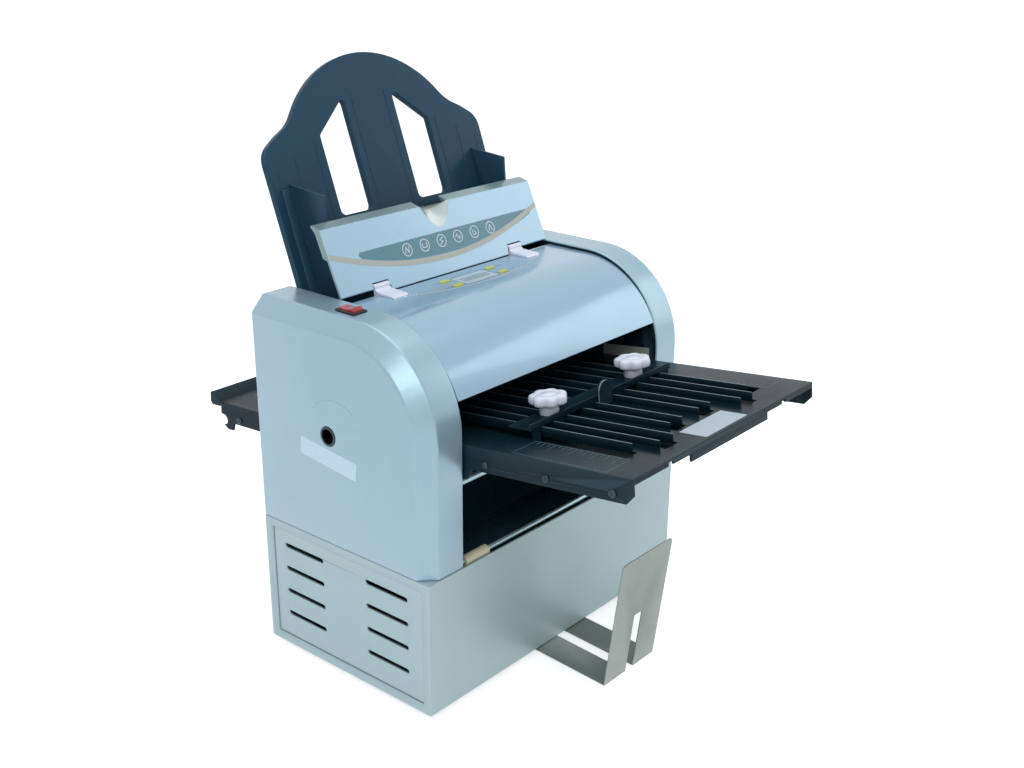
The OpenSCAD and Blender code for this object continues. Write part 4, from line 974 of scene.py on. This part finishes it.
def key_strokes():
    """Short strokes beside the keys, five over the display, and a rim round it."""
    bm = bmesh.new()
    for side in (-1, 1):
        for y in (16.2, 0.6):
            ends = [(side * 36.5 * MM, y * MM), (side * 45 * MM, y * MM)]
            stroke_path(bm, ends, 0.7 * MM, INK_H)
    for i in range(5):
        x = -14 + 7 * i
        stroke_path(bm, [(x * MM, 19.6 * MM), (x * MM, 21.6 * MM)], 0.5 * MM, INK_H)
    rim = rounded_rect(-20.6 * MM, -3.9 * MM, 20.6 * MM, 18.1 * MM, 1.2 * MM)
    stroke_path(bm, rim + rim[:1], 0.4 * MM, INK_H)
    marks("key_strokes", bm, INK_SEGMENT, HOOD_PLANE, "machine")


def display():
    """The display's pane, its digits, and the strokes round it."""
    lo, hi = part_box("display_window")
    outline = rounded_rect(0, 0, hi.x - lo.x, hi.y - lo.y, 1.0 * MM)
    plane = on_plane(Vector((lo.x, lo.y, lo.z)), X_AXIS, Y_AXIS, Z_AXIS)
    glass = extruded("display_window_pane", outline, hi.z - lo.z, plane, GLASS, round_w=0.25 * MM)
    piece(glass, "machine")
    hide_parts("display_window")
    display_digits(hi.z)
    key_strokes()


# ---------------------------------------------------------------- labels and scales
def side_label():
    """A blank label under the crank hole, tilted as the real one is."""
    tilt, half_w, half_h = math.radians(6.4), 32.5 * MM, 7.7 * MM
    place = Matrix.Translation((11.9 * MM, 202.5 * MM, 0)) @ Matrix.Rotation(tilt, 4, "Z")
    outline = rounded_rect(-half_w, -half_h, half_w, half_h, 0.8 * MM)
    tag = extruded("side_label", outline, LABEL_FILM, SIDE_PLANE @ place, LABEL)
    piece(tag, "machine")


def crank_arc():
    """The moulded arc over the crank hole."""
    r, mid_y, mid_z, start, sweep, n = 33.4, 1.6, 220.5, 37, 91, 24
    pts = []
    for i in range(n + 1):
        a = math.radians(start + sweep * i / n)
        pts.append(((mid_y + r * math.cos(a)) * MM, (mid_z + r * math.sin(a)) * MM))
    bm = bmesh.new()
    stroke_path(bm, pts, 0.6 * MM, 0.14 * MM)
    marks("crank_arc", bm, SILVER, SIDE_PLANE, "machine")


def labels():
    """Blank labels stand where the real ones carry words."""
    side_label()
    crank_arc()
    # plaque on the inside of the right wall
    wall = on_plane(Vector((RIGHT_IN, SHIFT_Y, 0)), -Y_AXIS, Z_AXIS, -X_AXIS)
    corners = [(37, 222.5), (88, 229.2), (88, 240.2), (37, 233.5)]
    outline = [(y * MM, z * MM) for y, z in corners]
    plaque = extruded("inner_plaque", outline, LABEL_FILM, wall, INK_GREY)
    piece(plaque, "machine")
    # pale label at the front of the front plate
    outline = rounded_rect(-29.5 * MM, 129 * MM, 29.5 * MM, 153.5 * MM, 0.8 * MM)
    tag = extruded("front_plate_label", outline, LABEL_FILM, P1_PLANE, PLATE_LABEL)
    piece(tag, "front_plate")


def scale_strip(name, plane, body, side, s_end, s_start):
    """A printed length scale: a fine outline, and ticks 5 mm apart of three lengths."""
    x0, x1, height, step = side * 96.5, side * 125.0, 0.08 * MM, 5
    corners = [(x0, s_start), (x1, s_start), (x1, s_end), (x0, s_end), (x0, s_start)]
    bm = bmesh.new()
    stroke_path(bm, [(x * MM, s * MM) for x, s in corners], 0.35 * MM, height)
    s = s_start + step
    k = 1
    while s < s_end - 1:
        reach = 12 if k % 4 == 0 else (8 if k % 2 == 0 else 5)
        stroke_path(bm, [(x0 * MM, s * MM), ((x0 + side * reach) * MM, s * MM)], 0.3 * MM, height)
        s += step
        k += 1
    marks(name, bm, INK_SCALE, plane, body)


def stop_tab(name, plane, body):
    """The round-topped finger tab on the front of a stop bar, its sides above the foot lighter as a
    painted rim highlight.
    """
    r, top, low, out, thick = 8.7 * MM, 21.6 * MM, 0.9 * MM, 38.05 * MM, 1.5 * MM
    outline = [(-r, low), (r, low)] + arc_pts(0, top - r, r, 0, 180, 30)
    face = plane @ on_plane(Vector((0, out, 0)), -X_AXIS, Z_AXIS, Y_AXIS)
    tab = extruded(name, outline, thick, face, BLACK, round_w=0.3 * MM)
    tab.data.materials.append(FIN_PAINTED_HIGHLIGHT)
    to_face = face.inverted()
    turn = to_face.to_3x3()
    # sides above the foot take the painted rim highlight
    for p in tab.data.polygons:
        if abs((turn @ p.normal).z) < 0.9 and (to_face @ p.center).y > low + 1 * MM:
            p.material_index = 1
    piece(tab, body)


# ---------------------------------------------------------------- stage, light and camera
def stage():
    """The floor that the machine stands on."""
    bm = bmesh.new()
    size = 16.0
    bmesh.ops.create_grid(bm, x_segments=1, y_segments=1, size=size)
    floor = add_object("floor", bm, floor_material(), smooth=False)
    floor.location = (0, 0, DESK)


def seen_directly(tree):
    """1 where the camera, a mirror or clear plastic looks, else 0."""
    path = tree.nodes.new("ShaderNodeLightPath")
    total = path.outputs["Is Camera Ray"]
    for name in ("Is Glossy Ray", "Is Transmission Ray"):
        add = tree.nodes.new("ShaderNodeMath")
        add.operation = "ADD"
        add.use_clamp = True
        tree.links.new(total, add.inputs[0])
        tree.links.new(path.outputs[name], add.inputs[1])
        total = add.outputs[0]
    return total


def floor_material():
    """A pale matt floor that reads as white where nothing shades it."""
    mat = bpy.data.materials.new("pale_floor")
    mat.use_nodes = True
    tree = mat.node_tree
    bsdf = tree.nodes["Principled BSDF"]
    bsdf.inputs["Base Color"].default_value = (0.8, 0.81, 0.82, 1)
    bsdf.inputs["Roughness"].default_value = 0.7
    glow = tree.nodes.new("ShaderNodeEmission")
    glow.inputs["Color"].default_value = (1, 1, 1, 1)
    glow.inputs["Strength"].default_value = 0.62
    add = tree.nodes.new("ShaderNodeAddShader")
    mix = tree.nodes.new("ShaderNodeMixShader")
    tree.links.new(bsdf.outputs[0], add.inputs[0])
    tree.links.new(glow.outputs[0], add.inputs[1])
    tree.links.new(seen_directly(tree), mix.inputs["Fac"])
    tree.links.new(bsdf.outputs[0], mix.inputs[1])
    tree.links.new(add.outputs[0], mix.inputs[2])
    tree.links.new(mix.outputs[0], tree.nodes["Material Output"].inputs["Surface"])
    return mat


def world():
    """A soft pale sky for light, plain white where it is seen."""
    w = bpy.data.worlds.new("studio")
    bpy.context.scene.world = w
    w.use_nodes = True
    tree = w.node_tree
    bg = tree.nodes["Background"]
    bg.inputs["Color"].default_value = (0.9, 0.95, 1.0, 1)
    bg.inputs["Strength"].default_value = 0.55
    white = tree.nodes.new("ShaderNodeBackground")
    white.inputs["Color"].default_value = (1, 1, 1, 1)
    white.inputs["Strength"].default_value = 1.0
    mix = tree.nodes.new("ShaderNodeMixShader")
    tree.links.new(seen_directly(tree), mix.inputs["Fac"])
    tree.links.new(bg.outputs[0], mix.inputs[1])
    tree.links.new(white.outputs[0], mix.inputs[2])
    tree.links.new(mix.outputs[0], tree.nodes["World Output"].inputs["Surface"])


def area(name, place, target, size, power, colour):
    """A rectangular lamp at a place, turned to its target."""
    light = bpy.data.lights.new(name, "AREA")
    light.shape = "RECTANGLE"
    light.size, light.size_y = size
    light.energy = power
    light.color = colour
    obj = bpy.data.objects.new(name, light)
    bpy.context.scene.collection.objects.link(obj)
    obj.location = place
    obj.rotation_euler = (Vector(target) - Vector(place)).to_track_quat("-Z", "Y").to_euler()


def lights():
    """Three soft boxes: a key from the front left, one above, and a weak fill from the right."""
    middle = (0, 0, 0.2)
    area("key_softbox", (-1.4, -1.0, 1.6), middle, (1.2, 1.0), 14.5, (0.97, 0.99, 1.0))
    area("top_softbox", (0.3, 0.2, 2.1), middle, (1.6, 1.6), 11, (0.96, 0.98, 1.0))
    area("right_fill", (1.7, -0.9, 0.9), middle, (0.9, 1.3), 5, (1.0, 0.98, 0.96))


def camera():
    """The photo's camera, from its place, three angles and lens."""
    cam = bpy.data.cameras.new("camera")
    cam.sensor_width = SENSOR
    cam.lens = FOCAL_PX * SENSOR / IMAGE_W
    cam.shift_x, cam.shift_y = SHIFT_IMG
    cam.clip_start = 0.01
    flat = math.cos(CAMERA_EL)
    back = Vector((math.sin(CAMERA_AZ) * flat, -math.cos(CAMERA_AZ) * flat, math.sin(CAMERA_EL)))
    right = Vector((0, 0, 1)).cross(back).normalized()
    up = back.cross(right)
    turn = Matrix((right, up, back)).transposed().to_4x4() @ Matrix.Rotation(CAMERA_ROLL, 4, "Z")
    obj = bpy.data.objects.new("camera", cam)
    bpy.context.scene.collection.objects.link(obj)
    obj.matrix_world = Matrix.Translation(CAMERA) @ turn
    bpy.context.scene.camera = obj


# ---------------------------------------------------------------- the whole scene
dress_cad()
for name, plane, x in (("front_knob_left", P1_PLANE, KNOB_X),
                       ("front_knob_right", P1_PLANE, -KNOB_X),
                       ("rear_knob_left", P2_PLANE, -KNOB_X),
                       ("rear_knob_right", P2_PLANE, KNOB_X)):
    star_knob(name, name, plane, x)
flange_screws("front_plate_screws", "front_plate", P1_PLANE, (18, 77.5, 138))
flange_screws("rear_plate_screws", "rear_plate", P2_PLANE, (20, 83.5))
hopper_lid()
lid_graphics()
hood_trim()
display()
tray_rims()
labels()
stop_tab("front_stop_tab", P1_PLANE, "front_stop")
stop_tab("rear_stop_tab", P2_PLANE, "rear_stop")
for side, word in ((-1, "right"), (1, "left")):
    scale_strip("front_scale_" + word, P1_PLANE, "front_plate", side, 131.5, 44)
    scale_strip("rear_scale_" + word, P2_PLANE, "rear_plate", side, 100, 20)

stage()
world()
lights()
camera()
bpy.context.scene.view_settings.view_transform = "Standard"
